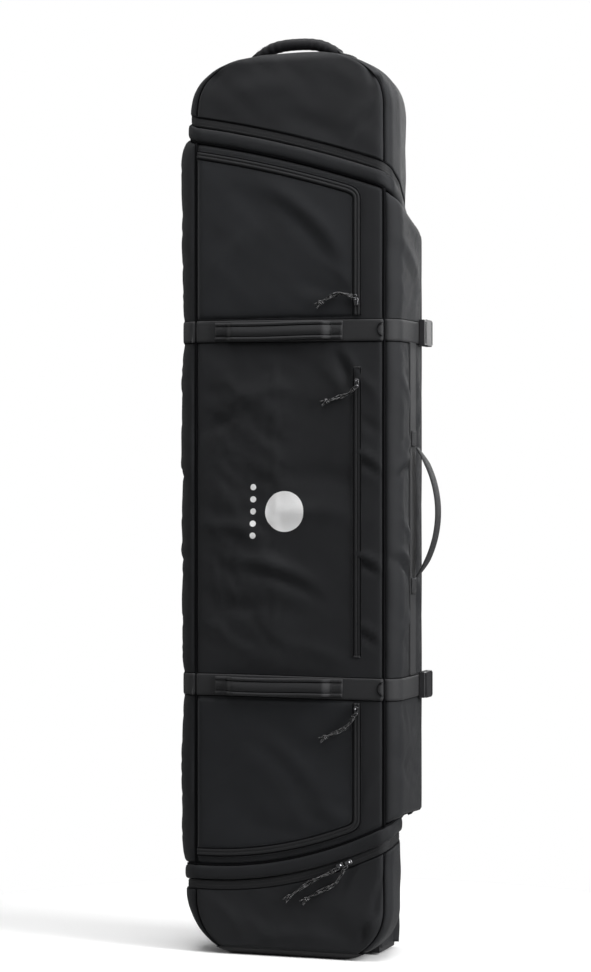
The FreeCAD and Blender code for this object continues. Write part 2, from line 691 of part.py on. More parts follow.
def side_handle():
    """Webbing arch that stands off the side, narrow at its two ends."""
    low, high = size("side_handle_low"), size("side_handle_high")
    foot, out, thick = size("side_handle_foot"), size("side_handle_out"), size("side_handle_thick")
    middle = (low + high) / 2
    y = size("side_tape_y")
    inner = Part.Arc(V(foot, y, low), V(out, y, middle), V(foot, y, high)).toShape()
    outer = Part.Arc(V(foot + thick, y, low), V(out + thick, y, middle),
                     V(foot + thick, y, high)).toShape()
    ends = [Part.LineSegment(V(foot, y, z), V(foot + thick, y, z)).toShape() for z in (low, high)]
    arch = Part.Face(Part.Wire(Part.__sortEdges__([inner, outer, *ends])))
    arch = arch.extrude(BACK * size("side_handle_wide"))
    arch.translate(BACK * (-size("side_handle_wide") / 2))
    wide, slim = size("side_handle_wide") / 2, size("side_handle_end") / 2
    outline = [(y - slim, low - 1), (y + slim, low - 1), (y + wide, low + 30), (y + wide, high - 30),
               (y + slim, high + 1), (y - slim, high + 1), (y - wide, high - 30),
               (y - wide, low + 30)]
    loop = [V(150, v, z) for v, z in outline]
    return arch.common(Part.Face(Part.makePolygon(loop + loop[:1])).extrude(RIGHT * 150))


soft("side_handle", side_handle())

# ---------------------------------------------------------------- padded handle on the end


def top_handle():
    """Round padded grip, bent into a low arch over the top end."""
    half, y = size("top_handle_half"), size("top_handle_y")
    foot, peak = size("top_handle_foot"), size("top_handle_peak")
    path = Part.Wire(Part.Arc(V(-half, y, foot), V(0, y, peak), V(half, y, foot)).toShape())
    tangent = path.Edges[0].tangentAt(path.Edges[0].FirstParameter)
    section = Part.Wire(Part.makeCircle(size("top_handle_thick") / 2, V(-half, y, foot), tangent))
    return path.makePipeShell([section], True, True)


soft("top_handle", top_handle())


def top_anchor():
    """Webbing tab sewn to the end, with the loop that the grip's end sits in."""
    tab = box("tab", ("sizes.top_handle_half + 2", "sizes.top_handle_y - sizes.top_anchor_wide / 2",
                      "sizes.bag_height + 0.2"),
              ("sizes.top_anchor_long", "sizes.top_anchor_wide", "2.8"))
    loop = box("tab_loop", ("sizes.top_handle_half + 2", "sizes.top_handle_y - 8",
                            "sizes.bag_height + 0.2"), ("6", "16", "14"))
    return fuse("tab_and_loop", [tab, loop])


anchor = top_anchor()
keep(group("end_anchors", [anchor, mirror_of(anchor, "anchor_left")]), "top_handle_anchors")

# -------------------------------------------------------------------- side-release buckles


def buckle_female(name):
    """Open socket with side windows, and a slot at the back for its anchor webbing."""
    made = body(name + "_socket")
    half, long, thick = size("female_half"), size("female_long"), size("buckle_thick")
    outline = ring([(0, -half), (long - 8, -half), (long, 5 - half), (long, half - 5),
                    (long - 8, half), (0, half)])
    pad(made, name + "_shell", sketch(made, name + "_plan", "YZ_Plane", outline, thick / 2),
        "sizes.buckle_thick")
    fillet(made, name + "_edges", 1.6, lambda edge: runs_along(edge, UP)
           and edge.CenterOfMass.y > 1 or runs_along(edge, BACK))
    shell = made
    cavity = box(name + "_cavity", ("2.5", "-1", "-sizes.prong_half - 0.5"),
                 ("sizes.buckle_thick - 5", "24", "2 * sizes.prong_half + 1"))
    windows = box(name + "_windows", ("2.5", "8", "-40"), ("sizes.buckle_thick - 5", "11", "80"))
    slot = box(name + "_slot", ("-5", "26.5", "-20"), ("30", "4", "40"))
    return cut(name + "_hollow", shell, [cavity, windows, slot])


def buckle_male(name):
    """Two prongs and a tongue on a frame with two bars for the strap."""
    frame = body(name + "_frame")
    half, long, thick = size("male_half"), size("male_long"), size("buckle_thick")
    pad(frame, name + "_bar", sketch(frame, name + "_plan", "YZ_Plane",
                                     rectangle(0, -half, long, half), thick / 2),
        "sizes.buckle_thick")
    fillet(frame, name + "_edges", 1.6, lambda edge: not runs_along(edge, RIGHT)
           and edge.CenterOfMass.y < long - 1)
    reach = "sizes.prong_long + 1"
    prongs = [box(f"{name}_prong_{i}", ("3", "sizes.male_long - 1", low), ("5", reach, "7"))
              for i, low in enumerate(("sizes.prong_half - 7", "-sizes.prong_half"))]
    tongue = box(name + "_tongue", ("3.4", "sizes.male_long - 1", "-4"), ("4.2", reach + " - 3", "8"))
    slots = [box(f"{name}_slot_{i}", ("-5", low, "-19.5"), ("30", "3.4", "39"))
             for i, low in enumerate(("2.6", "9"))]
    return cut(name + "_slotted", fuse(name + "_solid", [frame, *prongs, tongue]), slots)


def webbing_anchor(name, height):
    """Short webbing that ties the socket round the rear edge to the back panel."""
    lift, thick, half = size("strap_lift"), size("strap_thick"), size("strap_wide") / 2
    room = block((120, 400), (rear + 1, 400), (height - half, height + half))
    return skin(middle_form, lift + thick, thick).common(room)


for name, height in strap_heights.items():
    prefix = "foot" if name == "bottom" else "top"
    female = buckle_female(f"socket_{name}")
    male = buckle_male(f"clip_{name}")
    for made, y in ((female, "sizes.female_y"), (male, "sizes.male_y")):
        place(made, "sizes.buckle_x", y, f"sizes.{prefix}_strap_height")
    keep(female, f"buckle_female_{name}")
    keep(male, f"buckle_male_{name}")
soft("buckle_anchors", Part.makeCompound(
    [webbing_anchor(name, height) for name, height in strap_heights.items()]))

# ------------------------------------------------------------------- zip sliders and pulls


def slider(name):
    """Zip slider with its bridge; it runs along its own Z, and its bridge stands towards -Y."""
    made = body(name + "_body")
    wide, long, thick = size("slider_wide") / 2, size("slider_long") / 2, size("slider_thick")
    outline = ring([(-wide, long - 2), (-wide * 0.62, -long), (wide * 0.62, -long), (wide, long - 2),
                    (wide - 2, long), (2 - wide, long)])
    pad(made, name + "_plate", sketch(made, name + "_plan", "XZ_Plane", outline, thick / 2),
        "sizes.slider_thick")
    fillet(made, name + "_edges", 0.8, lambda edge: edge.CenterOfMass.y < -thick + 0.1)
    rise, span = size("bridge_high"), size("bridge_long") / 2
    arch = ring([(-thick + 0.5, -span), (-thick + 0.5, span), (-thick - rise + 1.5, span),
                 (-thick - rise, span - 1.5), (-thick - rise, 1.5 - span), (-thick - rise + 1.5, -span)])
    pad(made, name + "_bridge", sketch(made, name + "_side", "YZ_Plane", arch), "sizes.bridge_wide")
    hole = rectangle(-thick - rise + 1.4, 1.6 - span, -thick, span - 1.6)
    pocket_through(made, name + "_eye", sketch(made, name + "_eye_view", "YZ_Plane", hole))
    return made


def foot_arc_centre():
    """Centre of the circle that the lower opening follows on the front face."""
    span, y = size("slit_span"), size("front_y")
    a, b, c = [V(x, 0, slit_height("foot", x, y)) for x in (-span, 0, span)]
    return Part.Arc(a, b, c).toShape().Curve.Center


def foot_zip_place(x):
    """Point on the lower zip at x, and how far the zip is turned there."""
    centre = foot_arc_centre()
    start = V(0, 0, slit_height("foot", 0, size("front_y")) - 7)
    radius = (start - centre).Length
    turn = math.asin((x - centre.x) / radius)
    return V(x, 0, centre.z - radius * math.cos(turn)), math.degrees(turn)


patch_slider_y = zip_y[0] - 0.3
panel_slider_y = front - 0.4 - size("zip_thick") - 0.3
cap_slider_y = front + 2 - 0.3
zip_x = size("pocket_right") - size("zip_wide") / 2
SLIDERS = {
    "top_pocket": (zip_x, patch_slider_y, 1156, 0),
    "middle_pocket": (zip_x, panel_slider_y, 1014, 0),
    "bottom_pocket": (zip_x, patch_slider_y, 440, 0),
}
for name, x in (("main_left", 95), ("main_right", 111)):
    spot, turn = foot_zip_place(x)
    SLIDERS[name] = (spot.x, cap_slider_y, spot.z, 90 - turn)

for name, (x, y, z, turn) in SLIDERS.items():
    made = slider(name)
    made.Placement = FreeCAD.Placement(V(x, y, z), FreeCAD.Rotation(BACK, turn))
    keep(made, f"slider_{name}")

# Each pull is a doubled cord that lies on the cloth: its route from the slider to its knot.
PULLS = {
    "top_pocket": [(124, -109.3, 1163), (112, -106.5, 1169), (96, -104, 1171), (80, -103, 1166),
                   (66, -104.5, 1157)],
    "middle_pocket": [(125, -106, 1005), (116, -103.5, 996), (104, -101, 991), (90, -99.8, 988),
                      (76, -101, 983)],
    "bottom_pocket": [(125, -109.3, 432), (119, -107, 419), (107, -104.5, 408), (91, -103, 401),
                      (74, -104.5, 393)],
    "main_left": [(91, -104, 160), (78, -101, 153), (60, -99.5, 145), (40, -99.5, 135),
                  (22, -99.5, 122), (6, -101, 110)],
    "main_right": [(106, -104, 163), (98, -102, 148), (88, -99.5, 134), (72, -99.5, 125),
                   (54, -99.5, 118), (38, -101, 107)],
}


def cord(name, route, radius):
    """A tube of straight runs joined by tangent arcs, and the knot at its far end."""
    points = [V(*p) for p in route]
    edges, at, radii = [], points[0], []
    for before, corner, after in zip(points, points[1:], points[2:]):
        back, on = (before - corner), (after - corner)
        reach = 0.45 * min(back.Length, on.Length)
        back.normalize()
        on.normalize()
        half_turn = (math.pi - back.getAngle(on)) / 2
        arc_radius = reach / math.tan(half_turn)
        centre = corner + (back + on).normalize() * (arc_radius / math.cos(half_turn))
        start, end = corner + back * reach, corner + on * reach
        middle = centre + (corner - centre).normalize() * arc_radius
        edges += [Part.LineSegment(at, start).toShape(), Part.Arc(start, middle, end).toShape()]
        radii.append(round(arc_radius, 1))
        at = end
    edges.append(Part.LineSegment(at, points[-1]).toShape())
    path = Part.Wire(edges)
    section = Part.Wire(Part.makeCircle(radius, points[0], points[1] - points[0]))
    tube = path.makePipeShell([section], True, True)
    share = tube.Volume / (math.pi * radius ** 2 * path.Length)
    print(f"{name}: {path.Length:.1f} mm, radii {radii}, volume {share:.4f} of section times length")
    knot = Part.makeCylinder(size("knot_radius"), size("knot_long"), points[-1], points[-1] - points[-2])
    return Part.makeCompound([tube, knot])


for name, route in PULLS.items():
    soft(f"pull_{name}", cord(name, route, size("cord_radius")))

# ---------------------------------------------------------------------------------- output

doc.recompute()
faults = [thing.Label for thing in doc.Objects if {"Invalid", "Error"} & set(thing.State)]
faults += [part.Label for part in parts if part.Shape.isNull() or not part.Shape.isValid()]
faults += [part.Label for part in parts if not part.Shape.Solids]
if faults:
    raise ValueError(f"these pieces failed: {faults}")

os.makedirs("parts", exist_ok=True)
for part in parts:
    part.Shape.exportStep(f"parts/{part.Label}.step")
    spread = part.Shape.BoundBox
    print(f"{part.Label}: {len(part.Shape.Solids)} solids, {part.Shape.Volume / 1000:.1f} cm3, "
          f"x {spread.XMin:.1f}..{spread.XMax:.1f} y {spread.YMin:.1f}..{spread.YMax:.1f} "
          f"z {spread.ZMin:.1f}..{spread.ZMax:.1f}")
centre = foot_arc_centre()
print(f"{len(parts)} nodes; lower zip turns about x {centre.x:.2f} z {centre.z:.2f}")
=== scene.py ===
import math

import bmesh
import bpy
import numpy as np
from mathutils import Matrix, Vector, noise


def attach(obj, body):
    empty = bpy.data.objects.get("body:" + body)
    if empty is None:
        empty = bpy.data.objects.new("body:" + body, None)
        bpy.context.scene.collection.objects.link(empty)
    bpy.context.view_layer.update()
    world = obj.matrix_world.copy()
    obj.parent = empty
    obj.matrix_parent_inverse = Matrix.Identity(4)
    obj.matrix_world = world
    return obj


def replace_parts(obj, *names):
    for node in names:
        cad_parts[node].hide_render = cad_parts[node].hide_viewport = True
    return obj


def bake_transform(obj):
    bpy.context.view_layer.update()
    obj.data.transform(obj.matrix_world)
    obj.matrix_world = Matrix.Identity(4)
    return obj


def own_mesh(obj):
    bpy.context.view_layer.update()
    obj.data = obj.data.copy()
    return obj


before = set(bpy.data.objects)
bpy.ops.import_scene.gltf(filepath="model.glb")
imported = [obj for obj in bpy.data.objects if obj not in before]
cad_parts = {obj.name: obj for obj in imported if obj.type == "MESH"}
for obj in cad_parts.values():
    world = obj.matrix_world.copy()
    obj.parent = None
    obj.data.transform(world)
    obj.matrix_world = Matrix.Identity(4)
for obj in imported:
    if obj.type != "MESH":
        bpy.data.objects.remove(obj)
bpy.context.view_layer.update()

MM = 0.001
UP, RIGHT, FORWARD = np.array([[0.0, 0.0, 1.0], [1.0, 0.0, 0.0], [0.0, -1.0, 0.0]])

# Sizes that follow the CAD model. Lengths are in metres.
FRONT, BACK, HEIGHT = -0.095, 0.080, 1.600
SEAM, LID_REAR, TUB_REAR, HINGE_CLEAR = 0.176, 0.054, 0.061, 0.028
TAPE, LID_GAP = 0.018, 0.028              # how far the tub and the lid stay from a slit's edge
SPAN = 0.184                              # half of the width over which a slit's slant is measured
# height at the left and right ends, bulge in the middle, and slope towards the back at both ends
SLITS = {"top": (1.476, 1.380, 0.0085, 0.25, -0.41), "foot": (0.131, 0.213, -0.025, -0.2, 0.13)}
STRAPS = {"top": 1.107, "bottom": 0.478}
STRAP_WIDE = 0.038
POCKET_LEFT, POCKET_RIGHT, POCKET_ROUND, POCKET_INSET = -0.172, 0.133, 0.022, 0.044
TOP_POCKET_LOW, FOOT_POCKET_HIGH = 1.130, 0.455
MID_ZIP_LOW, MID_ZIP_HIGH = 0.534, 1.041
ZIP_WIDE = 0.012
KICK_HIGH = 0.0125
CAP_HALF = 0.186                          # half of the caps' width
# the wheel housings' openings in the foot cap: between two places from the middle, behind, below
WHEEL_NEAR, WHEEL_FAR, WHEEL_REAR, WHEEL_HIGH = 0.0948, 0.1452, 0.0575, 0.1087
SIDE_HANDLE_Y, TOP_HANDLE_Y = -0.005, -0.045
PANEL_THICK, BINDING_THICK = 0.006, 0.0012
PIPING_STEP = 0.006
FOLD_SCALE = 3.1                          # how much deeper the creases are than their marks say
# shifts of the four rows of sewing on a webbing end
FOUR_ROWS = (-0.010, -0.0033, 0.0033, 0.010)


def slit(end, x, y):
    """Height of the opening's slanted edge at any place."""
    left, right, bulge, slope_left, slope_right = SLITS[end]
    share = (x + SPAN) / (2 * SPAN)
    slope = slope_left * (1 - share) + slope_right * share
    return left * (1 - share) + right * share + bulge * (1 - (x / SPAN) ** 2) + slope * (y - FRONT)


# ------------------------------------------------------------------------------- camera

def make_camera():
    """At the height of the bag's middle, 19 degrees to the right of its front."""
    turn, far, aside, level = math.radians(19), 4.99, -0.019, 0.833
    across = Vector((math.cos(turn), math.sin(turn), 0))
    look = Vector((-math.sin(turn), math.cos(turn), 0))
    data = bpy.data.cameras.new("camera")
    data.sensor_width = 36
    data.lens = 102.7
    camera = bpy.data.objects.new("camera", data)
    camera.location = across * aside - look * far + Vector((0, 0, level))
    camera.rotation_euler = look.to_track_quat("-Z", "Y").to_euler()
    bpy.context.scene.collection.objects.link(camera)
    bpy.context.scene.camera = camera


make_camera()


# ---------------------------------------------------------------------------- materials

class Shader:
    """A principled material, with short names for the nodes that make its pattern."""

    def __init__(self, name, material=None):
        self.material = material or bpy.data.materials.new(name)
        self.material.use_nodes = True
        self.tree = self.material.node_tree
        self.surface = self.tree.nodes["Principled BSDF"]

    def node(self, kind, inputs=None, **settings):
        made = self.tree.nodes.new(kind)
        for key, value in settings.items():
            setattr(made, key, value)
        for key, value in (inputs or {}).items():
            self.put(made.inputs[key], value)
        return made

    def put(self, socket, value):
        if isinstance(value, bpy.types.NodeSocket):
            self.tree.links.new(value, socket)
        else:
            socket.default_value = value

    def set(self, **values):
        for key, value in values.items():
            self.put(self.surface.inputs[key.replace("_", " ")], value)

    def math(self, operation, a, b=0.0):
        return self.node("ShaderNodeMath", {0: a, 1: b}, operation=operation).outputs[0]

    def cloth(self):
        """Metres along and across the piece's own cloth."""
        place = self.node("ShaderNodeAttribute", attribute_name="cloth").outputs["Vector"]
        split = self.node("ShaderNodeSeparateXYZ", {0: place})
        return place, split.outputs[0], split.outputs[1]

    def solid(self):
        """Places on a CAD part, in its own space."""
        return self.node("ShaderNodeTexCoord").outputs["Object"]

    def noise(self, place, scale, detail=3.0, rough=0.6):
        made = self.node("ShaderNodeTexNoise", {"Vector": place, "Scale": scale, "Detail": detail,
                                               "Roughness": rough})
        return made.outputs[0]

    def mix(self, factor, first, second):
        """First colour where the factor is 0, second where it is 1."""
        inputs = {0: factor, 6: first, 7: second}
        return self.node("ShaderNodeMix", data_type="RGBA", inputs=inputs).outputs[2]

    def ramp(self, factor, dark, light, low=0.0, high=1.0):
        """From dark to light as the factor goes from low to high."""
        made = self.node("ShaderNodeMapRange", {"Value": factor, "From Min": low, "From Max": high})
        return self.mix(made.outputs[0], (*dark, 1), (*light, 1))

    def bump(self, height, distance, strength=1.0):
        made = self.node("ShaderNodeBump", {"Height": height, "Distance": distance,
                                           "Strength": strength})
        self.set(Normal=made.outputs[0])


def print_on(material, disc, radius, dots_u, dot_radius, pitch, rows, colour):
    """Print a plain disc and a column of dots on a cloth, at places in metres along and up it."""
    s = Shader(material.name, material)
    _, u, v = s.cloth()

    def within(centre, reach, upward):
        apart = [s.math("SUBTRACT", u, centre), upward]
        square = s.math("ADD", *[s.math("MULTIPLY", a, a) for a in apart])
        return s.math("LESS_THAN", square, reach ** 2)

    up = s.math("SUBTRACT", v, disc[1])
    nearest = s.math("MULTIPLY", s.math("ROUND", s.math("DIVIDE", up, pitch)), pitch)
    in_column = s.math("LESS_THAN", s.math("ABSOLUTE", up), pitch * rows / 2)
    in_dot = within(dots_u, dot_radius, s.math("SUBTRACT", up, nearest))
    inked = s.math("MAXIMUM", within(disc[0], radius, up), s.math("MULTIPLY", in_dot, in_column))
    cloth_colour = s.surface.inputs["Base Color"].links[0].from_socket
    s.set(Base_Color=s.mix(inked, cloth_colour, (*colour, 1)))


def add_up(shader, parts):
    """The sum of (value, weight) pairs."""
    total = shader.math("MULTIPLY", parts[0][0], parts[0][1])
    for socket, weight in parts[1:]:
        total = shader.math("ADD", total, shader.math("MULTIPLY", socket, weight))
    return total


def half_wave(shader, distance, pitch):
    """Waves from 0 to 1, a pitch apart."""
    wave = shader.math("SINE", shader.math("MULTIPLY", distance, 2 * math.pi / pitch))
    return shader.math("ADD", shader.math("MULTIPLY", wave, 0.5), 0.5)


def twill(name, dark, light, pitch=0.0013, rough=0.62, sheen=0.05, depth=0.00022):
    """Polyester twill: slanted ribs of two yarns, soft mottling and a faint nap."""
    s = Shader(name)
    place, u, v = s.cloth()
    slanted = half_wave(s, s.math("ADD", u, s.math("MULTIPLY", v, 0.7)), pitch)
    crossing = half_wave(s, s.math("SUBTRACT", u, s.math("MULTIPLY", v, 1.3)), pitch * 0.8)
    yarn = s.noise(place, 900.0, 2.0)
    cloud = s.noise(place, 14.0, 4.0)
    height = add_up(s, [(slanted, 0.6), (crossing, 0.25), (yarn, 0.35)])
    shade = add_up(s, [(height, 0.45), (cloud, 0.45), (yarn, 0.25)])
    s.set(Base_Color=s.ramp(shade, dark, light, 0.25, 0.95), Sheen_Weight=sheen,
          Sheen_Roughness=0.4, Specular_IOR_Level=0.18,
          Roughness=s.math("ADD", s.math("MULTIPLY", cloud, 0.12), rough - 0.06))
    s.bump(height, depth)
    return s.material


def webbing(name, dark, light, pitch=0.0024):
    """Woven webbing: a herringbone of cords that run along it."""
    s = Shader(name)
    place, u, v = s.cloth()
    zigzag = s.math("PINGPONG", v, 0.0042)
    chevron = half_wave(s, s.math("ADD", u, s.math("MULTIPLY", zigzag, 0.9)), pitch)
    cords = half_wave(s, v, 0.0014)
    fuzz = s.noise(place, 700.0, 2.0)
    height = add_up(s, [(chevron, 0.5), (cords, 0.4), (fuzz, 0.3)])
    s.set(Base_Color=s.ramp(height, dark, light, 0.2, 1.0), Roughness=0.6, Sheen_Weight=0.05,
          Specular_IOR_Level=0.24)
    s.bump(height, 0.0003)
    return s.material


def zip_tape(name, dark, light, gloss=0.22):
    """Knitted zip tape: fine ribs along it, with a row of sewing."""
    s = Shader(name)
    place, u, v = s.cloth()
    along = half_wave(s, u, 0.0011)
    across = half_wave(s, v, 0.0011)
    height = add_up(s, [(along, 0.4), (across, 0.5), (s.noise(place, 500.0), 0.3)])
    s.set(Base_Color=s.ramp(height, dark, light, 0.2, 1.0), Roughness=0.62,
          Specular_IOR_Level=gloss)
    s.bump(height, 0.0002)
    return s.material


def moulded(name, dark, light, rough=0.42, grain=1100.0, depth=0.00012, wear=0.5):
    """Moulded plastic or rubber: fine spark-eroded grain, uneven gloss and rubbed edges."""
    s = Shader(name)
    place = s.solid()
    fine = s.noise(place, grain, 2.0)
    cloud = s.noise(place, 30.0, 5.0)
    scuffs = s.noise(place, 160.0, 6.0, 0.75)
    edge = s.node("ShaderNodeNewGeometry").outputs["Pointiness"]
    rubbed = s.math("MULTIPLY", s.math("GREATER_THAN", edge, 0.53), wear)
    shade = add_up(s, [(cloud, 0.6), (scuffs, 0.4), (rubbed, 0.5)])
    s.set(Base_Color=s.ramp(shade, dark, light, 0.3, 1.2), Specular_IOR_Level=0.35,
          Roughness=s.math("ADD", s.math("MULTIPLY", scuffs, 0.2), rough - 0.1))
    s.bump(add_up(s, [(fine, 1.0), (scuffs, 0.4)]), depth)
    return s.material


def metal(name, dark, light, rough=0.3, metallic=1.0):
    """Plated or brushed metal, with fine scratches and a duller patina."""
    s = Shader(name)
    place = s.solid()
    stretched = s.node("ShaderNodeMapping", {"Vector": place, "Scale": (90, 90, 1400)}).outputs[0]
    brushed = s.noise(stretched, 1.0, 4.0)
    patina = s.noise(place, 220.0, 4.0)
    s.set(Base_Color=s.ramp(patina, dark, light, 0.3, 0.7), Metallic=metallic,
          Roughness=s.math("ADD", s.math("MULTIPLY", brushed, 0.22), rough - 0.08))
    s.bump(brushed, 0.00006)
    return s.material


def speckled_cord(name):
    """Braided cord: black with light-grey flecks in a slanted pattern."""
    s = Shader(name)
    place, u, v = s.cloth()
    one = s.math("SINE", s.math("MULTIPLY", s.math("ADD", u, v), 2 * math.pi / 0.0052))
    two = s.math("SINE", s.math("MULTIPLY", s.math("SUBTRACT", u, v), 2 * math.pi / 0.0043))
    braid = s.math("MULTIPLY", one, two)
    patches = s.noise(place, 180.0, 1.0)
    fleck = s.math("GREATER_THAN", add_up(s, [(braid, 0.5), (patches, 1.0)]), 0.83)
    s.set(Base_Color=s.ramp(fleck, (0.003, 0.003, 0.0035), (0.52, 0.52, 0.53)), Roughness=0.8,
          Specular_IOR_Level=0.1)
    s.bump(s.math("ABSOLUTE", braid), 0.0003)
    return s.material


TWILL_TONES = (0.0085, 0.0088, 0.0098), (0.0195, 0.0204, 0.0226)
TWILL = twill("twill", *TWILL_TONES)
TWILL_SMOOTH = twill("pocket_twill", (0.0082, 0.0088, 0.0100), (0.0185, 0.0198, 0.0226), 0.0011)
GRIP = twill("grip_cloth", (0.006, 0.006, 0.007), (0.015, 0.015, 0.017), 0.0016)
LINING = twill("lining", (0.020, 0.021, 0.023), (0.036, 0.038, 0.041), 0.0010, 0.5, 0.1)
WEBBING = webbing("webbing", (0.010, 0.0102, 0.0112), (0.036, 0.0365, 0.0385))
TAPE_CLOTH = zip_tape("zip_tape", (0.008, 0.0082, 0.0090), (0.024, 0.0245, 0.0262))
# near-black cord: partly the dark cloth of real piping, partly painted shadow where it lies in seam
# gaps, under the padded rolls, along the straps' edges and in the grab handles' creases
PIPING_AND_SHADE = zip_tape("piping_and_shade", (0.0015, 0.0015, 0.0018), (0.005, 0.005, 0.006), 0.05)
THREAD = webbing("thread", (0.010, 0.010, 0.011), (0.032, 0.032, 0.034), 0.0010)
COIL = moulded("zip_coil", (0.008, 0.008, 0.009), (0.030, 0.030, 0.032), 0.35)
CORD = speckled_cord("pull_cord")
MOULDING = moulded("foot_plastic", (0.007, 0.007, 0.008), (0.022, 0.022, 0.024), 0.5)
BUCKLE = moulded("buckle_plastic", (0.012, 0.012, 0.013), (0.040, 0.040, 0.043), 0.36)
BOARD = moulded("board_plastic", (0.012, 0.012, 0.013), (0.035, 0.035, 0.037), 0.55)
TYRE = moulded("tyre_urethane", (0.16, 0.16, 0.165), (0.34, 0.34, 0.35), 0.38, 700.0)
HUB = moulded("hub_nylon", (0.020, 0.020, 0.022), (0.055, 0.055, 0.058), 0.42)
STEEL = metal("steel", (0.30, 0.30, 0.31), (0.52, 0.52, 0.54))
SLIDER = metal("slider_metal", (0.10, 0.10, 0.105), (0.30, 0.30, 0.31), 0.28)


# ------------------------------------------------------------------------ mesh functions

def add_object(name, vertices, faces, cloth, materials, body):
    """A new piece; cloth is each point's place on its own cloth, in metres."""
    mesh = bpy.data.meshes.new(name)
    mesh.from_pydata([tuple(p) for p in np.asarray(vertices).tolist()], [], faces)
    flat = np.zeros((len(vertices), 3))
    flat[:, :2] = np.asarray(cloth)[:, :2]
    mesh.attributes.new("cloth", "FLOAT_VECTOR", "POINT").data.foreach_set("vector", flat.ravel())
    mesh.polygons.foreach_set("use_smooth", [True] * len(mesh.polygons))
    for material in materials:
        mesh.materials.append(material)
    made = bpy.data.objects.new(name, mesh)
    bpy.context.scene.collection.objects.link(made)
    if body:
        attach(made, body)
    return made


def grid_faces(rows, columns, closed=False):
    """Four-cornered faces between the points of a grid, row after row."""
    last = columns if closed else columns - 1
    return [(j * columns + i, j * columns + (i + 1) % columns,
             (j + 1) * columns + (i + 1) % columns, (j + 1) * columns + i)
            for j in range(rows - 1) for i in range(last)]


def tube_faces(count, sides):
    """Faces of a closed tube with an end cap at both ends."""
    return grid_faces(count, sides, closed=True) + [
        tuple(range(sides - 1, -1, -1)), tuple(range((count - 1) * sides, count * sides))]


def spaced(length, step, edge=(0, 0.0012, 0.0028, 0.005, 0.009)):
    """Places from 0 to length, close together near both ends and a step apart between them."""
    edge = np.array(edge)
    inner = np.linspace(edge[-1], length - edge[-1], max(2, round((length - 2 * edge[-1]) / step)))
    return np.concatenate([edge[:-1], inner, length - edge[:-1][::-1]])


def between(marks, step):
    """Places along an outline through all the marks, close together near each of them."""
    runs = [a + spaced(b - a, step) for a, b in zip(marks, marks[1:])]
    return np.concatenate([runs[0]] + [run[1:] for run in runs[1:]])


def unit(vectors):
    return vectors / np.maximum(np.linalg.norm(vectors, axis=-1, keepdims=True), 1e-12)


def distances(path):
    """Distance along a path at each of its points."""
    return np.concatenate([[0], np.cumsum(np.linalg.norm(np.diff(path, axis=0), axis=1))])


def xyz(x, y, z):
    """Points in space from three coordinates, of which some may be single numbers."""
    return np.stack(np.broadcast_arrays(x, y, z), axis=-1).astype(float)


def upright(xy, z):
    """Points in space from places seen from above and their heights."""
    return xyz(xy[..., 0], xy[..., 1], z)


def raised(xy, out, lift, z):
    """Points a lift outside an outline at heights z, and the outward directions there."""
    return upright(xy + out * np.reshape(lift, (-1, 1)), z), upright(out, 0.0)


def bell(distance, width):
    """1 at no distance, falling to nothing on both sides."""
    return np.exp(-(distance / width) ** 2)


def rising(distance, reach):
    """0 at an edge, 1 well away from it."""
    return 1 - np.exp(-distance / reach)


def portion(value, whole):
    """The share of a whole, from 0 to 1."""
    return np.clip(value / whole, 0, 1)


def read_at(places, gone, values):
    """Values of any number of columns, read off between their places along a path."""
    return np.stack([np.interp(places, gone, column) for column in values.T], axis=-1)


def eased(share):
    """From 0 to 1 with a gentle start and end."""
    return share * share * (3 - 2 * share)


def grid_normals(grid, closed=False):
    """Outward direction at each point of a grid whose columns run left to right, rows upwards."""
    if closed:
        along = np.roll(grid, -1, axis=1) - np.roll(grid, 1, axis=1)
    else:
        along = np.gradient(grid, axis=1)
    return unit(np.cross(along, np.gradient(grid, axis=0)))


def wander(points, scale, seed):
    """Smooth noise from about -1 to 1 at each point."""
    flat = np.asarray(points).reshape(-1, 3) * scale + seed * 7.3
    return np.array([noise.noise(Vector(p)) for p in flat.tolist()]).reshape(np.shape(points)[:-1])


def crumple(across, up, seed):
    """Soft creases that run mostly down to the right, from about -1 to 1."""
    lengthwise = across * 0.80 - up * 0.60
    crosswise = across * 0.60 + up * 0.80
    broad = wander(xyz(lengthwise * 5.5, crosswise * 17.0, seed), 1.0, 0)
    fine = wander(xyz(lengthwise * 13.0, crosswise * 38.0, seed + 5.0), 1.0, 0)
    return broad + 0.35 * fine


def folds(across, up, marks):
    """Soft creases: each mark is place across, place up, angle, half length, width, height, in mm."""
    total = np.zeros(np.shape(up))
    for x, z, angle, long, wide, high in marks:
        turn = math.radians(angle)
        dx, dz = across - x * MM, up - z * MM
        along = dx * math.cos(turn) + dz * math.sin(turn)
        aside = -dx * math.sin(turn) + dz * math.cos(turn)
        aside = aside + 0.12 * along ** 2 / (long * MM)
        shape = bell(along, long * MM) * bell(aside, wide * MM)
        total = total + high * FOLD_SCALE * MM * shape
    return total


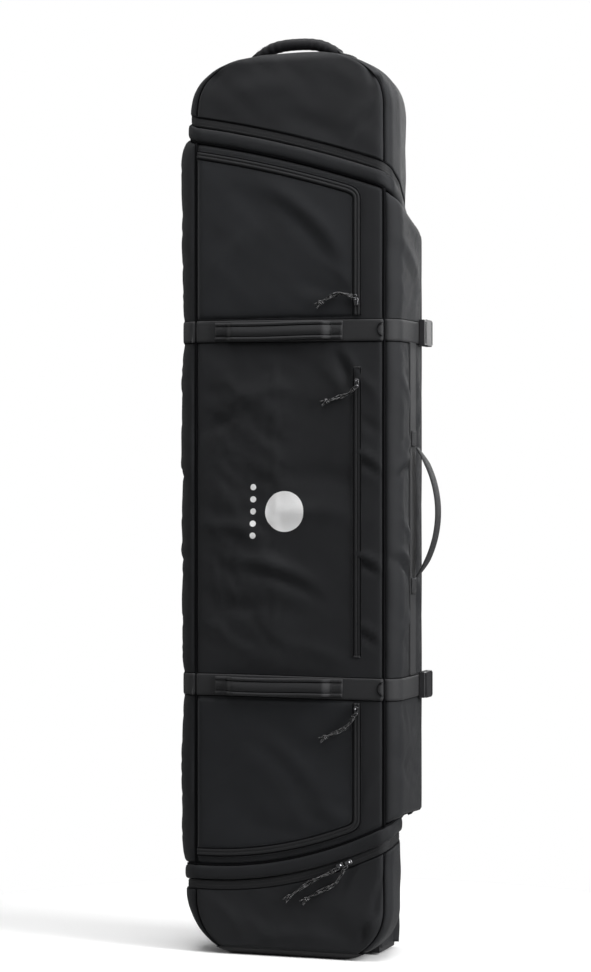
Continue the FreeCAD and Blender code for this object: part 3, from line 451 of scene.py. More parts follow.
class Outline:
    """The bag seen from above: from the middle of its back round the left side and the front."""

    def __init__(self, corners, swell):
        points = [(0.0, BACK)]
        for i, (x, y, radius) in enumerate(corners):
            here = np.array([x, y])
            before = unit(here - (np.array(corners[i - 1][:2]) if i else np.array([0.0, BACK])))
            following = corners[i + 1][:2] if i + 1 < len(corners) else (0.0, BACK)
            after = unit(np.array(following) - here)
            turn = math.acos(np.clip(before @ after, -1, 1))
            reach = radius * math.tan(turn / 2)
            inward = np.array([-before[1], before[0]])
            centre = here - before * reach + inward * radius
            steps = max(2, int(radius * turn / MM))
            for k in range(steps + 1):
                swing = turn * k / steps
                arm = -inward * math.cos(swing) + before * math.sin(swing)
                points.append(tuple(centre + arm * radius))
        points.append((0.0, BACK))
        ends = self.swollen(np.array(points), swell)
        gone = distances(ends)
        self.long = gone[-1]
        self.gone = np.linspace(0, self.long, int(self.long / MM))
        self.xy = read_at(self.gone, gone, ends)
        tangent = unit(np.gradient(self.xy, axis=0))
        self.out = np.stack([tangent[:, 1], -tangent[:, 0]], axis=1)

    @staticmethod
    def swollen(points, swell):
        """The padded left side stands out in the middle of its depth."""
        x, y = points.T
        near = rising(np.maximum(y - FRONT + 0.006, 0), 0.018)
        far = portion(LID_REAR - y, 0.070)
        out = swell * near * eased(far) * (x < -0.13)
        return np.stack([x - out, y], axis=1)

    def place(self, side, value):
        """Distance along the outline to y on the left or right, or to x in front or behind."""
        x, y = self.xy.T
        if side == "front":
            chosen, run = y < -0.06, x
        elif side == "back":
            late = self.gone > self.long / 2
            chosen, run = (y > 0.05) & (late == (value > 0)), -x
            value = -value
        else:
            chosen = (x < -0.1) if side == "left" else (x > 0.1)
            run, value = (-y, -value) if side == "left" else (y, value)
        return float(np.interp(value, run[chosen], self.gone[chosen]))

    def run(self, marks):
        """Distances to marks in turn, which go on past the outline's end."""
        gone = [self.place(*mark) for mark in marks]
        for i in range(1, len(gone)):
            if gone[i] < gone[i - 1]:
                gone[i] += self.long
        return gone

    def at(self, gone):
        """Places and outward directions at distances along the outline."""
        place = np.mod(gone, self.long)
        return read_at(place, self.gone, self.xy), unit(read_at(place, self.gone, self.out))


def outline_of(half, front_round, rear_half, rear_round, swell, shoulder=None):
    """An outline that is alike on both sides; a shoulder is where it starts to narrow behind."""
    left = [(-rear_half, BACK, rear_round)]
    if shoulder is not None:
        left.append((-half, shoulder, 0.06))
    left.append((-half, FRONT, front_round))
    return Outline(left + [(-x, y, radius) for x, y, radius in reversed(left)], swell)


MID = outline_of(0.200, 0.030, 0.200, 0.025, 0.008)
CAPS = {"top": outline_of(CAP_HALF, 0.024, 0.165, 0.034, 0.010, -0.030),
        "foot": outline_of(CAP_HALF, 0.024, 0.150, 0.034, 0.018, -0.030)}


def sweep(name, path, out, profile, material, body):
    """A solid whose flat profile (across, outward) is carried along a path; up is across."""
    path, out = np.broadcast_arrays(path, out)
    across = unit(np.cross(out, unit(np.gradient(path, axis=0))))
    profile = np.asarray(profile, float)
    if profile.ndim == 2:
        profile = np.broadcast_to(profile, (len(path), *profile.shape))
    points = (path[:, None] + across[:, None] * profile[..., :1] + out[:, None] * profile[..., 1:])
    count, sides = points.shape[:2]
    cloth = np.zeros((count, sides, 2))
    cloth[..., 0] = distances(path)[:, None]
    girth = np.linalg.norm(np.diff(profile, axis=1), axis=2)
    cloth[:, 1:, 1] = np.cumsum(girth, axis=1)
    made = add_object(name, points.reshape(-1, 3), tube_faces(count, sides), cloth.reshape(-1, 2),
                      [material], body)
    face_outwards(made)
    return made


def face_outwards(made):
    """Turn a closed piece's faces outwards."""
    work = bmesh.new()
    work.from_mesh(made.data)
    bmesh.ops.recalc_face_normals(work, faces=work.faces)
    work.to_mesh(made.data)
    work.free()


def join(name, pieces):
    """One object out of several on the same body."""
    with bpy.context.temp_override(active_object=pieces[0], object=pieces[0],
                                   selected_objects=pieces, selected_editable_objects=pieces):
        bpy.ops.object.join()
    pieces[0].name = name
    return pieces[0]


def flat_profile(wide, thick, low=0.0, crown=0.0, edge=0.0004, parts=8):
    """A flat strip's section, with softened edges and a slight crown on its outer face."""
    x = np.linspace(-wide / 2, wide / 2, parts + 1)
    top = low + thick + crown * (1 - (2 * x / wide) ** 2)
    top[[0, -1]] -= edge
    bottom = np.full_like(x, low)
    bottom[[0, -1]] += edge
    return np.concatenate([np.stack([x, top], 1), np.stack([x, bottom], 1)[::-1]])


def round_profile(wide, thick, low=0.0, power=2.0, parts=20):
    """A padded section: an oval, or nearer to a box with a higher power."""
    angle = np.linspace(0, 2 * math.pi, parts, endpoint=False)
    x = np.sign(np.cos(angle)) * np.abs(np.cos(angle)) ** (2 / power) * wide / 2
    y = np.sign(np.sin(angle)) * np.abs(np.sin(angle)) ** (2 / power) * thick / 2
    return np.stack([x, y + low + thick / 2], 1)


def resampled(path, out, step):
    """The same path with points a step apart, and the outward directions at them."""
    path, out = np.broadcast_arrays(path, out)
    gone = distances(path)
    places = np.linspace(0, gone[-1], max(2, round(gone[-1] / step) + 1))
    return read_at(places, gone, path), unit(read_at(places, gone, out))


def dashes(name, rows, long, radius, pitch, material, body, across=False):
    """Short threads or zip teeth along paths; each row is (path, out, shift across, lift)."""
    vertices, faces = [], []
    ring = [(math.cos(a), math.sin(a)) for a in np.linspace(0, 2 * math.pi, 4, endpoint=False)]
    for path, out, shift, lift in rows:
        path, out = resampled(path, out, pitch)
        along = unit(np.gradient(path, axis=0))
        side = unit(np.cross(out, along))
        middle = path + side * shift + out * lift
        middle = (middle[1:] + middle[:-1]) / 2
        run, sideways, outward = along[:-1], side[:-1], out[:-1]
        if across:
            run, sideways = sideways, run
        for c, r, s, o in zip(middle, run, sideways, outward):
            first = len(vertices)
            vertices += [c - r * long / 2, c + r * long / 2]
            vertices += [c + (s * a + o * b) * radius for a, b in ring]
            for k in range(4):
                here, following = first + 2 + k, first + 2 + (k + 1) % 4
                faces += [(first, following, here), (first + 1, here, following)]
    vertices = np.array(vertices)
    made = add_object(name, vertices, faces, vertices[:, [0, 2]], [material], body)
    face_outwards(made)
    return made


def piping_and_shade(name, path, out, wide, thick, low, body="lid", parts=8):
    """A thin near-black cord along a path, low above the cloth: sewn piping in some places, painted
    shadow in gaps and creases in others.
    """
    return sweep(name, path, out, round_profile(wide, thick, low, parts=parts), PIPING_AND_SHADE, body)


def stitches(name, rows, body="lid", long=0.0030, radius=0.0004, pitch=0.0044):
    """Rows of sewing thread; each row is (path, out, shift across, lift)."""
    return dashes(name, rows, long, radius, pitch, THREAD, body)


def coil(name, path, out, lift, body="lid", long=0.0026, radius=0.0005, pitch=0.0017):
    """The teeth of a zip."""
    dashes(name, [(path, out, 0, lift)], long, radius, pitch, COIL, body, across=True)


def tape(name, path, out, profile, body="lid"):
    """A run of zip tape."""
    return sweep(name, path, out, profile, TAPE_CLOTH, body)


def webbing_run(name, path, out, profile, body="lid"):
    """A run of webbing."""
    return sweep(name, path, out, profile, WEBBING, body)


def mirrored(half, under, middle=()):
    """A section from the right half of its top, outwards, and the right end of its underside."""
    left = [(-x, y) for x, y in reversed(half)]
    return np.array([*left, *middle, *half, under, (-under[0], under[1])])


def facing(path, axis):
    """Directions square to a path that lies across the bag's depth, towards an axis's plus side."""
    out = np.cross(unit(np.gradient(path, axis=0)), (0.0, 1.0, 0.0))
    return out * np.sign(out[:, axis:axis + 1])


def sheet(name, grid, along, materials, body, up=None, faces=None):
    """A piece of cloth on a grid, measured along its columns and up its rows."""
    cloth = np.stack(np.broadcast_arrays(along, grid[..., 2] if up is None else up), axis=-1)
    return add_object(name, grid.reshape(-1, 3), faces or grid_faces(*grid.shape[:2]),
                      cloth.reshape(-1, 2), materials, body)


def thicken(made, thick=PANEL_THICK, lining=True):
    """Give an open sheet its padding, towards the inside of the bag."""
    solid = made.modifiers.new("padding", "SOLIDIFY")
    solid.thickness = thick
    solid.offset = -1
    solid.use_even_offset = False
    solid.material_offset = 1 if lining else 0
    solid.material_offset_rim = 0


def settle(made, held, cap, pressure=4.0, slack=0.01, frames=16):
    """Let a sewn sheet swell and wrinkle under the padding's push; no point moves beyond cap."""
    rest = np.array([v.co for v in made.data.vertices])
    group = made.vertex_groups.new(name="held")
    for level in np.unique(np.round(held, 1)):
        chosen = np.flatnonzero(np.round(held, 1) == level)
        group.add(chosen.tolist(), float(level), "REPLACE")
    modifier = made.modifiers.new("cloth", "CLOTH")
    settings = modifier.settings
    settings.quality = 4
    settings.mass = 0.3
    settings.vertex_group_mass = "held"
    settings.use_pressure = True
    settings.uniform_pressure_force = pressure
    settings.shrink_min = -slack
    settings.effector_weights.gravity = 0
    modifier.collision_settings.use_collision = False
    modifier.point_cache.frame_start = 1
    modifier.point_cache.frame_end = frames
    for number in range(1, frames + 1):
        bpy.context.scene.frame_set(number)
    shaped = made.evaluated_get(bpy.context.evaluated_depsgraph_get())
    moved = np.array([v.co for v in shaped.data.vertices]) - rest
    size = np.linalg.norm(moved, axis=1, keepdims=True)
    moved *= cap / (cap + size)
    made.modifiers.remove(modifier)
    made.vertex_groups.remove(group)
    bpy.context.scene.frame_set(1)
    made.data.vertices.foreach_set("co", (rest + moved).ravel())
    made.data.update()


# ---------------------------------------------------------------------------- pull cords

# The routes of the doubled cords on the zip sliders, from the slider to the knot, in metres.
PULLS = {
    "top_pocket": [(0.124, -0.1093, 1.163), (0.112, -0.1065, 1.169), (0.096, -0.104, 1.171),
                   (0.080, -0.103, 1.166), (0.066, -0.1045, 1.157)],
    "middle_pocket": [(0.125, -0.106, 1.005), (0.116, -0.1035, 0.996), (0.104, -0.101, 0.991),
                      (0.090, -0.0998, 0.988), (0.076, -0.101, 0.983)],
    "bottom_pocket": [(0.125, -0.1093, 0.432), (0.119, -0.107, 0.419), (0.107, -0.1045, 0.408),
                      (0.091, -0.103, 0.401), (0.074, -0.1045, 0.393)],
    "main_left": [(0.091, -0.104, 0.160), (0.078, -0.101, 0.153), (0.060, -0.0995, 0.145),
                  (0.040, -0.0995, 0.135), (0.022, -0.0995, 0.122), (0.006, -0.101, 0.110)],
    "main_right": [(0.106, -0.104, 0.163), (0.098, -0.102, 0.148), (0.088, -0.0995, 0.134),
                   (0.072, -0.0995, 0.125), (0.054, -0.0995, 0.118), (0.038, -0.101, 0.107)],
}
STRAND = 0.0019


def smooth_line(route):
    """Points of the NURBS curve that has the route's points as its control points."""
    data = bpy.data.curves.new("line", "CURVE")
    data.dimensions = "3D"
    data.resolution_u = 10
    spline = data.splines.new("NURBS")
    spline.points.add(len(route) - 1)
    for point, place in zip(spline.points, route):
        point.co = (*place, 1)
    spline.order_u = 3
    spline.use_endpoint_u = True
    holder = bpy.data.objects.new("line", data)
    bpy.context.scene.collection.objects.link(holder)
    bpy.context.view_layer.update()
    mesh = bpy.data.meshes.new_from_object(holder)
    points = np.array([v.co for v in mesh.vertices])
    bpy.data.objects.remove(holder)
    bpy.data.curves.remove(data)
    bpy.data.meshes.remove(mesh)
    return points


def frame_along(path):
    """Directions along a path, beside it and outward, at each of its points."""
    along = unit(np.gradient(path, axis=0))
    side = unit(np.cross(FORWARD, along))
    return along, side, np.cross(along, side)


def tube_parts(path, radius, sides):
    """Points, faces and cloth of a round tube with closed ends."""
    _, side, outward = frame_along(path)
    angle = np.linspace(0, 2 * math.pi, sides, endpoint=False)
    cosine, sine = np.cos(angle)[None, :, None], np.sin(angle)[None, :, None]
    points = path[:, None] + (side[:, None] * cosine + outward[:, None] * sine) * radius
    cloth = np.stack(np.broadcast_arrays(distances(path)[:, None], angle * radius), axis=-1)
    return points.reshape(-1, 3), tube_faces(len(path), sides), cloth.reshape(-1, 2)


def tubes(name, paths, radius, material, body, sides=8):
    """One piece of round tubes that share their width."""
    vertices, faces, cloth = [], [], []
    for path in paths:
        points, around, place = tube_parts(path, radius, sides)
        first = sum(len(v) for v in vertices)
        faces += [tuple(first + i for i in face) for face in around]
        vertices.append(points)
        cloth.append(place)
    made = add_object(name, np.concatenate(vertices), faces, np.concatenate(cloth), [material],
                      body)
    face_outwards(made)
    return made


def pull(name, route):
    """Doubled cord that is twisted once on its way, with an overhand knot and two short ends."""
    body = f"pull_{name}"
    line = smooth_line(route)
    along, side, outward = frame_along(line)
    gone = distances(line)
    twist = (gone / gone[-1] * 1.6 * math.pi)[:, None]
    arm = (side * np.cos(twist) + outward * np.sin(twist)) * STRAND
    cord = tubes(f"cord_{name}", [line + arm, line - arm], STRAND, CORD, body)
    end, run, aside, out = line[-1], along[-1], side[-1], outward[-1]
    t = np.linspace(0, 2 * math.pi, 61)[:-1]
    knot = xyz(np.sin(t) + 2 * np.sin(2 * t), np.cos(t) - 2 * np.cos(2 * t), -np.sin(3 * t))
    knot = knot * np.array([0.0011, 0.0011, 0.0014])
    ring = end + run * 0.0035 + knot[:, :1] * run + knot[:, 1:2] * aside + knot[:, 2:] * out
    ring = np.concatenate([ring, ring[:1]])
    tails = [end + run * 0.006 + aside * s * 0.001
             + np.linspace(0, 0.009, 6)[:, None] * (run + aside * s * 0.35) for s in (-1, 1)]
    knotted = tubes(f"knot_{name}", [ring, *tails], STRAND * 0.9, CORD, body)
    eye = line[0] - run * 0.0012
    angle = np.linspace(0, 2 * math.pi, 25)[:, None]
    loop = eye - run * 0.002 + np.cos(angle) * 0.0042 * run + np.sin(angle) * 0.0022 * aside
    link = tubes(f"link_{name}", [loop], 0.0007, SLIDER, body, 6)
    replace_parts(cord, body)


for pull_name, pull_route in PULLS.items():
    pull(pull_name, pull_route)


# ------------------------------------------------------------------- ends of the bag: caps

def end_height_share(z):
    """How far a level is into the rounded stretch at the top, from 0 to 1."""
    start = 1.490
    return portion(z - start, HEIGHT - start)


def round_over(distance, radius):
    """From 0 away from an edge to 1 at it, along a quarter circle."""
    return 1 - np.sqrt(1 - np.clip(1 - distance / radius, 0, 1) ** 2)


def narrowed(end, x, y, z):
    """A point of the cap's outline, drawn in where the end is rounded."""
    edge = 0.018
    if end == "top":
        power = 2.6
        scale = (1 - end_height_share(z) ** power) ** (1 / power)
        front = FRONT + edge * round_over(HEIGHT - z, edge)
        rear = BACK * (1 - round_over(HEIGHT - z, 0.080))
    else:
        corner = 0.095
        scale = (CAP_HALF - corner * round_over(z, corner)) / CAP_HALF
        scale = np.where(y > 0.058, 1.0, scale)
        drawn_in = edge * round_over(z, edge)
        front, rear = FRONT + drawn_in, BACK - drawn_in
    within = np.clip(x, -CAP_HALF, CAP_HALF)
    swell = portion(z - KICK_HIGH, 0.085) if end == "foot" else 1.0
    drawn = (within + (x - within) * swell) * scale
    if end == "foot":
        beside = portion(y + 0.045, 0.03) * 0.1475
        drawn = np.sign(drawn) * np.maximum(np.abs(drawn), np.minimum(beside, np.abs(x)))
    share = (y - FRONT) / (BACK - FRONT)
    return xyz(drawn, front + (rear - front) * share, z)


def cap_columns(end):
    """Places of the cap's seams, wheel openings and rear edges, and of its columns of points."""
    outline = CAPS[end]
    marks = [outline.place("left", TUB_REAR), outline.place("front", -SEAM),
             outline.place("front", SEAM), outline.place("right", TUB_REAR),
             outline.place("back", WHEEL_NEAR), outline.long + outline.place("back", -WHEEL_NEAR),
             outline.long + outline.place("left", TUB_REAR)]
    return marks, between(marks, 0.0062)[:-1]


def cap_grid(end):
    """Rows of points from the slanted band to the end of the bag."""
    outline = CAPS[end]
    marks, gone = cap_columns(end)
    xy, _ = outline.at(gone)
    x, y = xy[:, 0], xy[:, 1]
    ahead = gone < marks[3] + 1e-6
    if end == "top":
        low = slit(end, x, y) + np.where(ahead, TAPE + 0.0002, 0.001 - LID_GAP)
        rows = spaced(1.0, 0.026, (0, 0.006, 0.014, 0.028))
        z = low + (HEIGHT - low) * np.sin(rows[:, None] * math.pi / 2)
    else:
        high = slit(end, x, y) + np.where(ahead, -TAPE - 0.0002, LID_GAP - 0.001)
        lower = np.linspace(KICK_HIGH, WHEEL_HIGH, 22)[:-1, None] * np.ones_like(x)
        upper = WHEEL_HIGH + (high - WHEEL_HIGH) * spaced(1.0, 0.07, (0, 0.03, 0.08))[:, None]
        z = np.concatenate([lower, upper])
    grid = narrowed(end, x * np.ones_like(z), y * np.ones_like(z), z)
    seam = np.min([np.abs(gone - mark) for mark in marks[1:3]], axis=0)
    return grid, gone, seam, ahead


# creases as folds() takes them, on the ends' front faces
CAP_FOLDS = {
    "top": [(152, 1556, -70, 20, 7, -2.0), (165, 1552, -75, 18, 5, 1.6), (120, 1480, 40, 60, 16, 0.8),
            (-140, 1560, 50, 25, 9, -1.2), (40, 1470, -20, 80, 20, -0.7), (110, 1430, 52, 40, 8, 0.9),
            (-60, 1540, 8, 70, 22, 0.8)],
    "foot": [(142, 50, 60, 16, 6, -2.0), (152, 62, 60, 20, 6, 2.2), (130, 170, 52, 34, 7, 0.8),
             (118, 158, 52, 34, 6, -1.0), (-120, 80, -40, 40, 12, 0.8), (-60, 50, -30, 50, 14, 0.7),
             (0, 40, 5, 70, 12, 0.8), (165, 120, 75, 40, 6, -1.2)],
}


def cap(end, node, seed):
    """One end of the bag, pressed into a groove along the seams of its front face."""
    grid, gone, seam, ahead = cap_grid(end)
    out = grid_normals(grid, closed=True)
    rows = len(grid)
    x, z = grid[..., 0], grid[..., 2]
    groove = bell(seam, 0.0034)[None] * np.ones((rows, 1))
    fade = np.clip(np.linspace(0, rows / 6, rows), 0, 1)[:, None]
    if end == "top":
        fade = np.minimum(fade, fade[::-1])
        groove = groove * np.clip(np.linspace(rows / 5, 0, rows), 0, 1)[:, None]
    in_front = grid[..., 1] < -0.08
    swell = 0.0006 * fade * rising(seam, 0.02)[None]
    pulls = bell(z - 0.135, 0.06) * portion(x + 0.06, 0.08) * in_front
    soft = 0.0007 + 0.0021 * (1 - pulls)
    push = swell + crumple(x + grid[..., 1], z, seed) * soft * fade - groove * 0.0034
    push = push + folds(x, z, CAP_FOLDS[end]) * in_front * (1 - groove)
    if end == "foot":
        push = push - pulls * 0.0008
    edge_row = 0 if end == "top" else rows - 1
    push[edge_row] = push[edge_row] - np.where(ahead, 0.0022, 0.0)
    grid = grid + out * push[..., None]
    faces = grid_faces(*grid.shape[:2], closed=True)
    if end == "foot":
        x, y, high = grid.reshape(-1, 3)[np.array(faces)].mean(axis=1).T
        opening = (np.abs(x) > WHEEL_NEAR) & (np.abs(x) < WHEEL_FAR) & (y > WHEEL_REAR) \
            & (high < WHEEL_HIGH)
        faces = [face for face, is_open in zip(faces, opening) if not is_open]
    made = sheet(f"{node}_shell", grid, gone, [TWILL, LINING], None, up=z, faces=faces)
    work = bmesh.new()
    work.from_mesh(made.data)
    bmesh.ops.remove_doubles(work, verts=work.verts, dist=0.00005)
    bmesh.ops.delete(work, geom=[v for v in work.verts if not v.link_faces], context="VERTS")
    work.to_mesh(made.data)
    work.free()
    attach(made, "tub")
    thicken(made)
    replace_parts(made, node)
    return grid, gone


def seam_on_cap(end, grid, gone):
    """Near-black piping along the front face's edge: from the left band over the end to the right band;
    its darkness is partly painted shadow in the gap at the seam.
    """
    marks, _ = cap_columns(end)
    out = grid_normals(grid, closed=True)
    columns = [int(np.argmin(np.abs(gone - mark))) for mark in marks[1:3]]
    runs = [(grid[:, column], out[:, column]) for column in columns]
    if end == "top":
        runs = [[np.concatenate([a[:-3], b[:-3][::-1]]) for a, b in zip(*runs)]]
    parts = [piping_and_shade("seam", *resampled(*run, PIPING_STEP), 0.0032, 0.0032, -0.0006, "tub")
             for run in runs]
    join(f"seam_{end}_end", parts)


for cap_end, cap_node, cap_seed in (("top", "top_cap", 1), ("foot", "bottom_cap", 2)):
    seam_on_cap(cap_end, *cap(cap_end, cap_node, cap_seed))


# ---------------------------------------------------------- the middle: lid and back walls

def matched(outline, marks, gone):
    """The same places on another outline with the same marks."""
    return outline.at(np.interp(gone, MID.run(marks), outline.run(marks)))[0]


# radius of the rounded shoulders on the left and on the right
SHOULDERS = {"top": (0.046, 0.022), "foot": (0.046, 0.012)}


def shoulder(end, x, distance):
    """Share of the way in towards the narrower end, over a rounded shoulder."""
    left, right = SHOULDERS[end]
    return round_over(distance, left + (right - left) * portion(x + 0.2, 0.4))


def wall_grid(marks, step=0.007, row_step=0.008):
    """A sheet of the bag's middle between two marks and between the two slanted bands."""
    ends = MID.run(marks)
    gone = between(ends, step)
    xy, out = MID.at(gone)
    met = {end: matched(CAPS[end], marks, gone) for end in CAPS}
    low = slit("foot", *met["foot"].T) + LID_GAP
    high = slit("top", *met["top"].T) - LID_GAP
    rows = spaced(1.2, row_step, (0, 0.0012, 0.0028, 0.005, 0.009, 0.014, 0.020)) / 1.2
    z = low + rows[:, None] * (high - low)
    below, above = z - low, high - z
    flat = xy[None] * np.ones((len(rows), 1, 1))
    for end, distance in (("foot", below), ("top", above)):
        away = met[end][None] + out[None] * 0.001
        flat = flat + (away - flat) * shoulder(end, xy[:, 0], distance)[..., None]
    grid = upright(flat, z)
    seams = np.minimum(gone - ends[0], ends[-1] - gone)[None] * np.ones_like(z)
    return grid, gone, seams, np.minimum(below, above)


LID_FOLDS = [(104, 1040, -62, 34, 8, -1.6), (116, 1052, -60, 30, 7, 1.0), (88, 1018, -55, 40, 9, 0.7),
             (150, 884, -35, 24, 7, 1.6), (156, 862, -35, 26, 6, -1.6), (150, 690, -30, 26, 6, -2.0),
             (152, 704, -30, 26, 7, 1.8), (150, 566, -35, 24, 7, -1.5), (150, 580, -35, 24, 7, 1.4),
             (-20, 690, -18, 70, 14, 1.6), (-10, 668, -18, 70, 12, -1.3), (-100, 760, -12, 60, 14, 1.2),
             (30, 790, 2, 80, 18, 1.2), (-80, 620, 4, 70, 18, -1.0), (60, 850, -6, 90, 20, -0.9),
             (60, 540, -20, 60, 12, 0.7), (-60, 1000, 10, 70, 20, 1.0), (150, 1010, -50, 30, 8, 1.0),
             (150, 940, -35, 24, 8, -1.0), (-140, 940, 30, 40, 14, -1.2), (148, 300, 60, 30, 8, 0.8)]


def near_straps(z, reach=0.022):
    """From 0 at a strap's edge to 1 well away from both straps."""
    gap = np.min([np.maximum(np.abs(z - level) - STRAP_WIDE / 2, 0) for level in STRAPS.values()],
                 axis=0)
    return rising(gap, reach)


def tucked(seams, ends):
    """How far a panel's edge turns in at its seams and under the padded rolls."""
    return 0.0046 * bell(seams, 0.0036) + 0.0040 * bell(ends, 0.0040)


def lid_front():
    """The lid's front panel, with a plain disc and a column of dots printed on it."""
    cloth = twill("printed_twill", *TWILL_TONES)
    print_on(cloth, disc=(MID.place("front", -0.007), 0.788), radius=0.036,
             dots_u=MID.place("front", -0.066), dot_radius=0.0055, pitch=0.0215, rows=5,
             colour=(0.80, 0.80, 0.80))
    grid, gone, seams, ends = wall_grid([("front", -SEAM), ("front", SEAM)])
    x, z = grid[..., 0], grid[..., 2]
    calm = near_straps(z)
    free = np.clip((0.075 - x) / 0.10, 0.25, 1)
    rise = rising(seams, 0.016) * rising(ends, 0.02) * calm
    push = rise * free * (0.0030 + 0.0034 * crumple(x, z, 3.0))
    push = push + folds(x, z, LID_FOLDS) * rise
    past = np.maximum(z - TOP_POCKET_LOW, FOOT_POCKET_HIGH - z)
    bare = np.maximum(portion(x - POCKET_RIGHT, 0.008), np.clip(1 - past / 0.006, 0, 1))
    push = push * bare - tucked(seams, ends)
    grid[..., 1] -= push
    made = sheet("lid_front_panel", grid, gone, [cloth, LINING], "lid")
    held = np.clip(1.25 - rise * free * bare, 0, 1)
    settle(made, held.ravel(), 0.0022)
    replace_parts(made, "lid_front")
    thicken(made)


SIDE_FOLDS = [(-52, 862, 20, 26, 7, -2.2), (-50, 880, 20, 26, 8, 2.0), (-40, 905, 38, 40, 9, 1.4),
              (-50, 690, -30, 34, 8, -2.2), (-50, 706, -32, 34, 8, 1.9), (-30, 742, -45, 44, 9, 1.6),
              (-54, 1062, -55, 34, 8, -1.6), (-46, 1048, -55, 34, 8, 1.4), (-40, 600, 40, 40, 10, 1.4),
              (-55, 440, -60, 26, 8, -1.5), (-46, 432, -60, 26, 8, 1.2), (-45, 1000, -50, 50, 11, 1.2),
              (35, 960, 60, 50, 9, 1.2), (35, 640, -60, 50, 9, 1.2), (30, 330, 30, 50, 14, 1.2),
              (-20, 1240, -30, 60, 16, 1.2), (10, 1180, 35, 60, 14, -1.0), (-10, 380, 40, 40, 12, 1.0)]


def lid_side(side, sign, seed):
    """One side panel of the lid; the left one swells out."""
    marks = [("front", SEAM), ("right", LID_REAR)]
    if sign < 0:
        marks = [("left", LID_REAR), ("front", -SEAM)]
    grid, gone, seams, ends = wall_grid(marks)
    y, z = grid[..., 1], grid[..., 2]
    out = grid_normals(grid)
    beside_tape = portion(np.abs(y + 0.005) - 0.019, 0.014)
    middle = (z > STRAPS["bottom"]) & (z < STRAPS["top"]) & (sign > 0)
    free = np.where(middle, beside_tape, 1.0)
    at_buckles = 1 - portion(y - 0.012, 0.015) * (1 - near_straps(z, 0.03))
    rise = rising(seams, 0.014) * rising(ends, 0.02) * near_straps(z) * free
    rise = rise * at_buckles
    crown = np.sin(np.clip(seams / 0.140, 0, 1) * math.pi / 2) * (0.005 if sign < 0 else 0.0)
    push = rise * (0.0030 + crown + 0.0030 * crumple(y * sign, z, seed))
    push = push + folds(y, z, SIDE_FOLDS) * rise * (0.45 if sign < 0 else 1.0) - tucked(seams, ends)
    grid = grid + out * push[..., None]
    made = sheet(f"lid_{side}_panel", grid, gone, [TWILL, LINING], "lid")
    settle(made, np.clip(1.25 - rise, 0, 1).ravel(), 0.0020)
    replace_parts(made, f"lid_{side}_side")
    thicken(made)


def back_wall():
    """The tub's back, quilted between the rails, with a groove for the piping."""
    grid, gone, seams, ends = wall_grid([("right", TUB_REAR), ("left", TUB_REAR)])
    out = grid_normals(grid)
    x, z = grid[..., 0], grid[..., 2]
    rails = portion(np.abs(np.abs(x) - 0.095) - 0.010, 0.02)
    binding = bell(np.abs(x) - SEAM, 0.0045)
    rise = rising(seams, 0.01) * rising(ends, 0.02)
    quilting = np.abs(np.sin(z * math.pi / 0.20)) ** 0.35
    push = rise * rails * (0.0016 * quilting + wander(grid, 10.0, 6) * 0.0008)
    push = push - tucked(seams, ends) - 0.0022 * binding * rise
    grid = grid + out * push[..., None]
    made = sheet("back_panel_shell", grid, gone, [TWILL, LINING], "tub")
    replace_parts(made, "back_panel")
    thicken(made)
    return grid, out


lid_front()
lid_side("right", 1, 4)
lid_side("left", -1, 5)
back_grid, back_out = back_wall()


def hinge_gusset():
    """Folded cloth that joins the lid to the tub down the left rear edge."""
    grid, gone, seams, ends = wall_grid([("left", TUB_REAR), ("left", LID_REAR)], 0.001)
    grid = grid - grid_normals(grid) * (tucked(seams, ends) * 0.7)[..., None]
    made = sheet("hinge_gusset", grid, gone, [WEBBING, LINING], None)
    thicken(made, 0.0015)
    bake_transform(made)


hinge_gusset()


def lining_strip(name, end, gone, flat, z, body, materials):
    """Thin cloth inside a cap's outline, its first row nearest to the end of the bag."""
    grid = upright(flat, z)
    made = sheet(name, grid if end == "foot" else grid[::-1], gone, materials, body)
    thicken(made, BINDING_THICK)
    return made


def corner_gusset(end):
    """Soft cloth behind the end of the padded roll, where the lid folds away from the tub."""
    outline = CAPS[end]
    sign = 1 if end == "foot" else -1
    gone = np.linspace(outline.place("left", TUB_REAR), outline.place("left", HINGE_CLEAR - 0.004), 34)
    xy, out = outline.at(gone)
    share = np.linspace(0, 1, 12)[:, None]
    z = slit(end, *xy.T) + sign * (-0.0005 + 0.0315 * share)
    sag = 0.0042 + 0.0028 * np.sin(share * math.pi)
    made = lining_strip(f"corner_gusset_{end}", end, gone, xy - out * sag[..., None], z, None,
                        [TWILL, LINING])
    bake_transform(made)


for gusset_end in CAPS:
    corner_gusset(gusset_end)


def inner_binding(end, body, marks, near, far, inset):
    """Binding sewn inside, over the line where the panels' ends meet the cap or the roll."""
    outline = CAPS[end]
    sign = 1 if end == "foot" else -1
    first, last = outline.run(marks)
    gone = np.linspace(first, last, round((last - first) / 0.005))
    xy, out = outline.at(gone)
    z = slit(end, *xy.T) + sign * np.linspace(near, far, 6)[:, None]
    lining_strip(f"inner_binding_{body}_{end}", end, gone, xy - out * inset, z, body,
                 [LINING, LINING])


for binding_end in CAPS:
    inner_binding(binding_end, "tub", [("right", TUB_REAR - 0.003), ("left", TUB_REAR - 0.0065)],
                  -0.012, 0.034, 0.0072)
    inner_binding(binding_end, "lid", [("left", LID_REAR + 0.002), ("right", LID_REAR)],
                  0.010, 0.037, 0.0105)


# ------------------------------------------------------ the slanted bands: tapes and rolls

def band_path(end, shift, lift, left=TUB_REAR - 0.001, right=TUB_REAR - 0.001, step=0.004):
    """A line round the cap from the left rear to the right rear, a shift above its slit."""
    outline = CAPS[end]
    a, b = outline.place("left", left), outline.place("right", right)
    gone = np.linspace(a, b, round((b - a) / step))
    xy, out = outline.at(gone)
    z = slit(end, xy[:, 0], xy[:, 1]) + shift
    return raised(xy, out, lift, z)


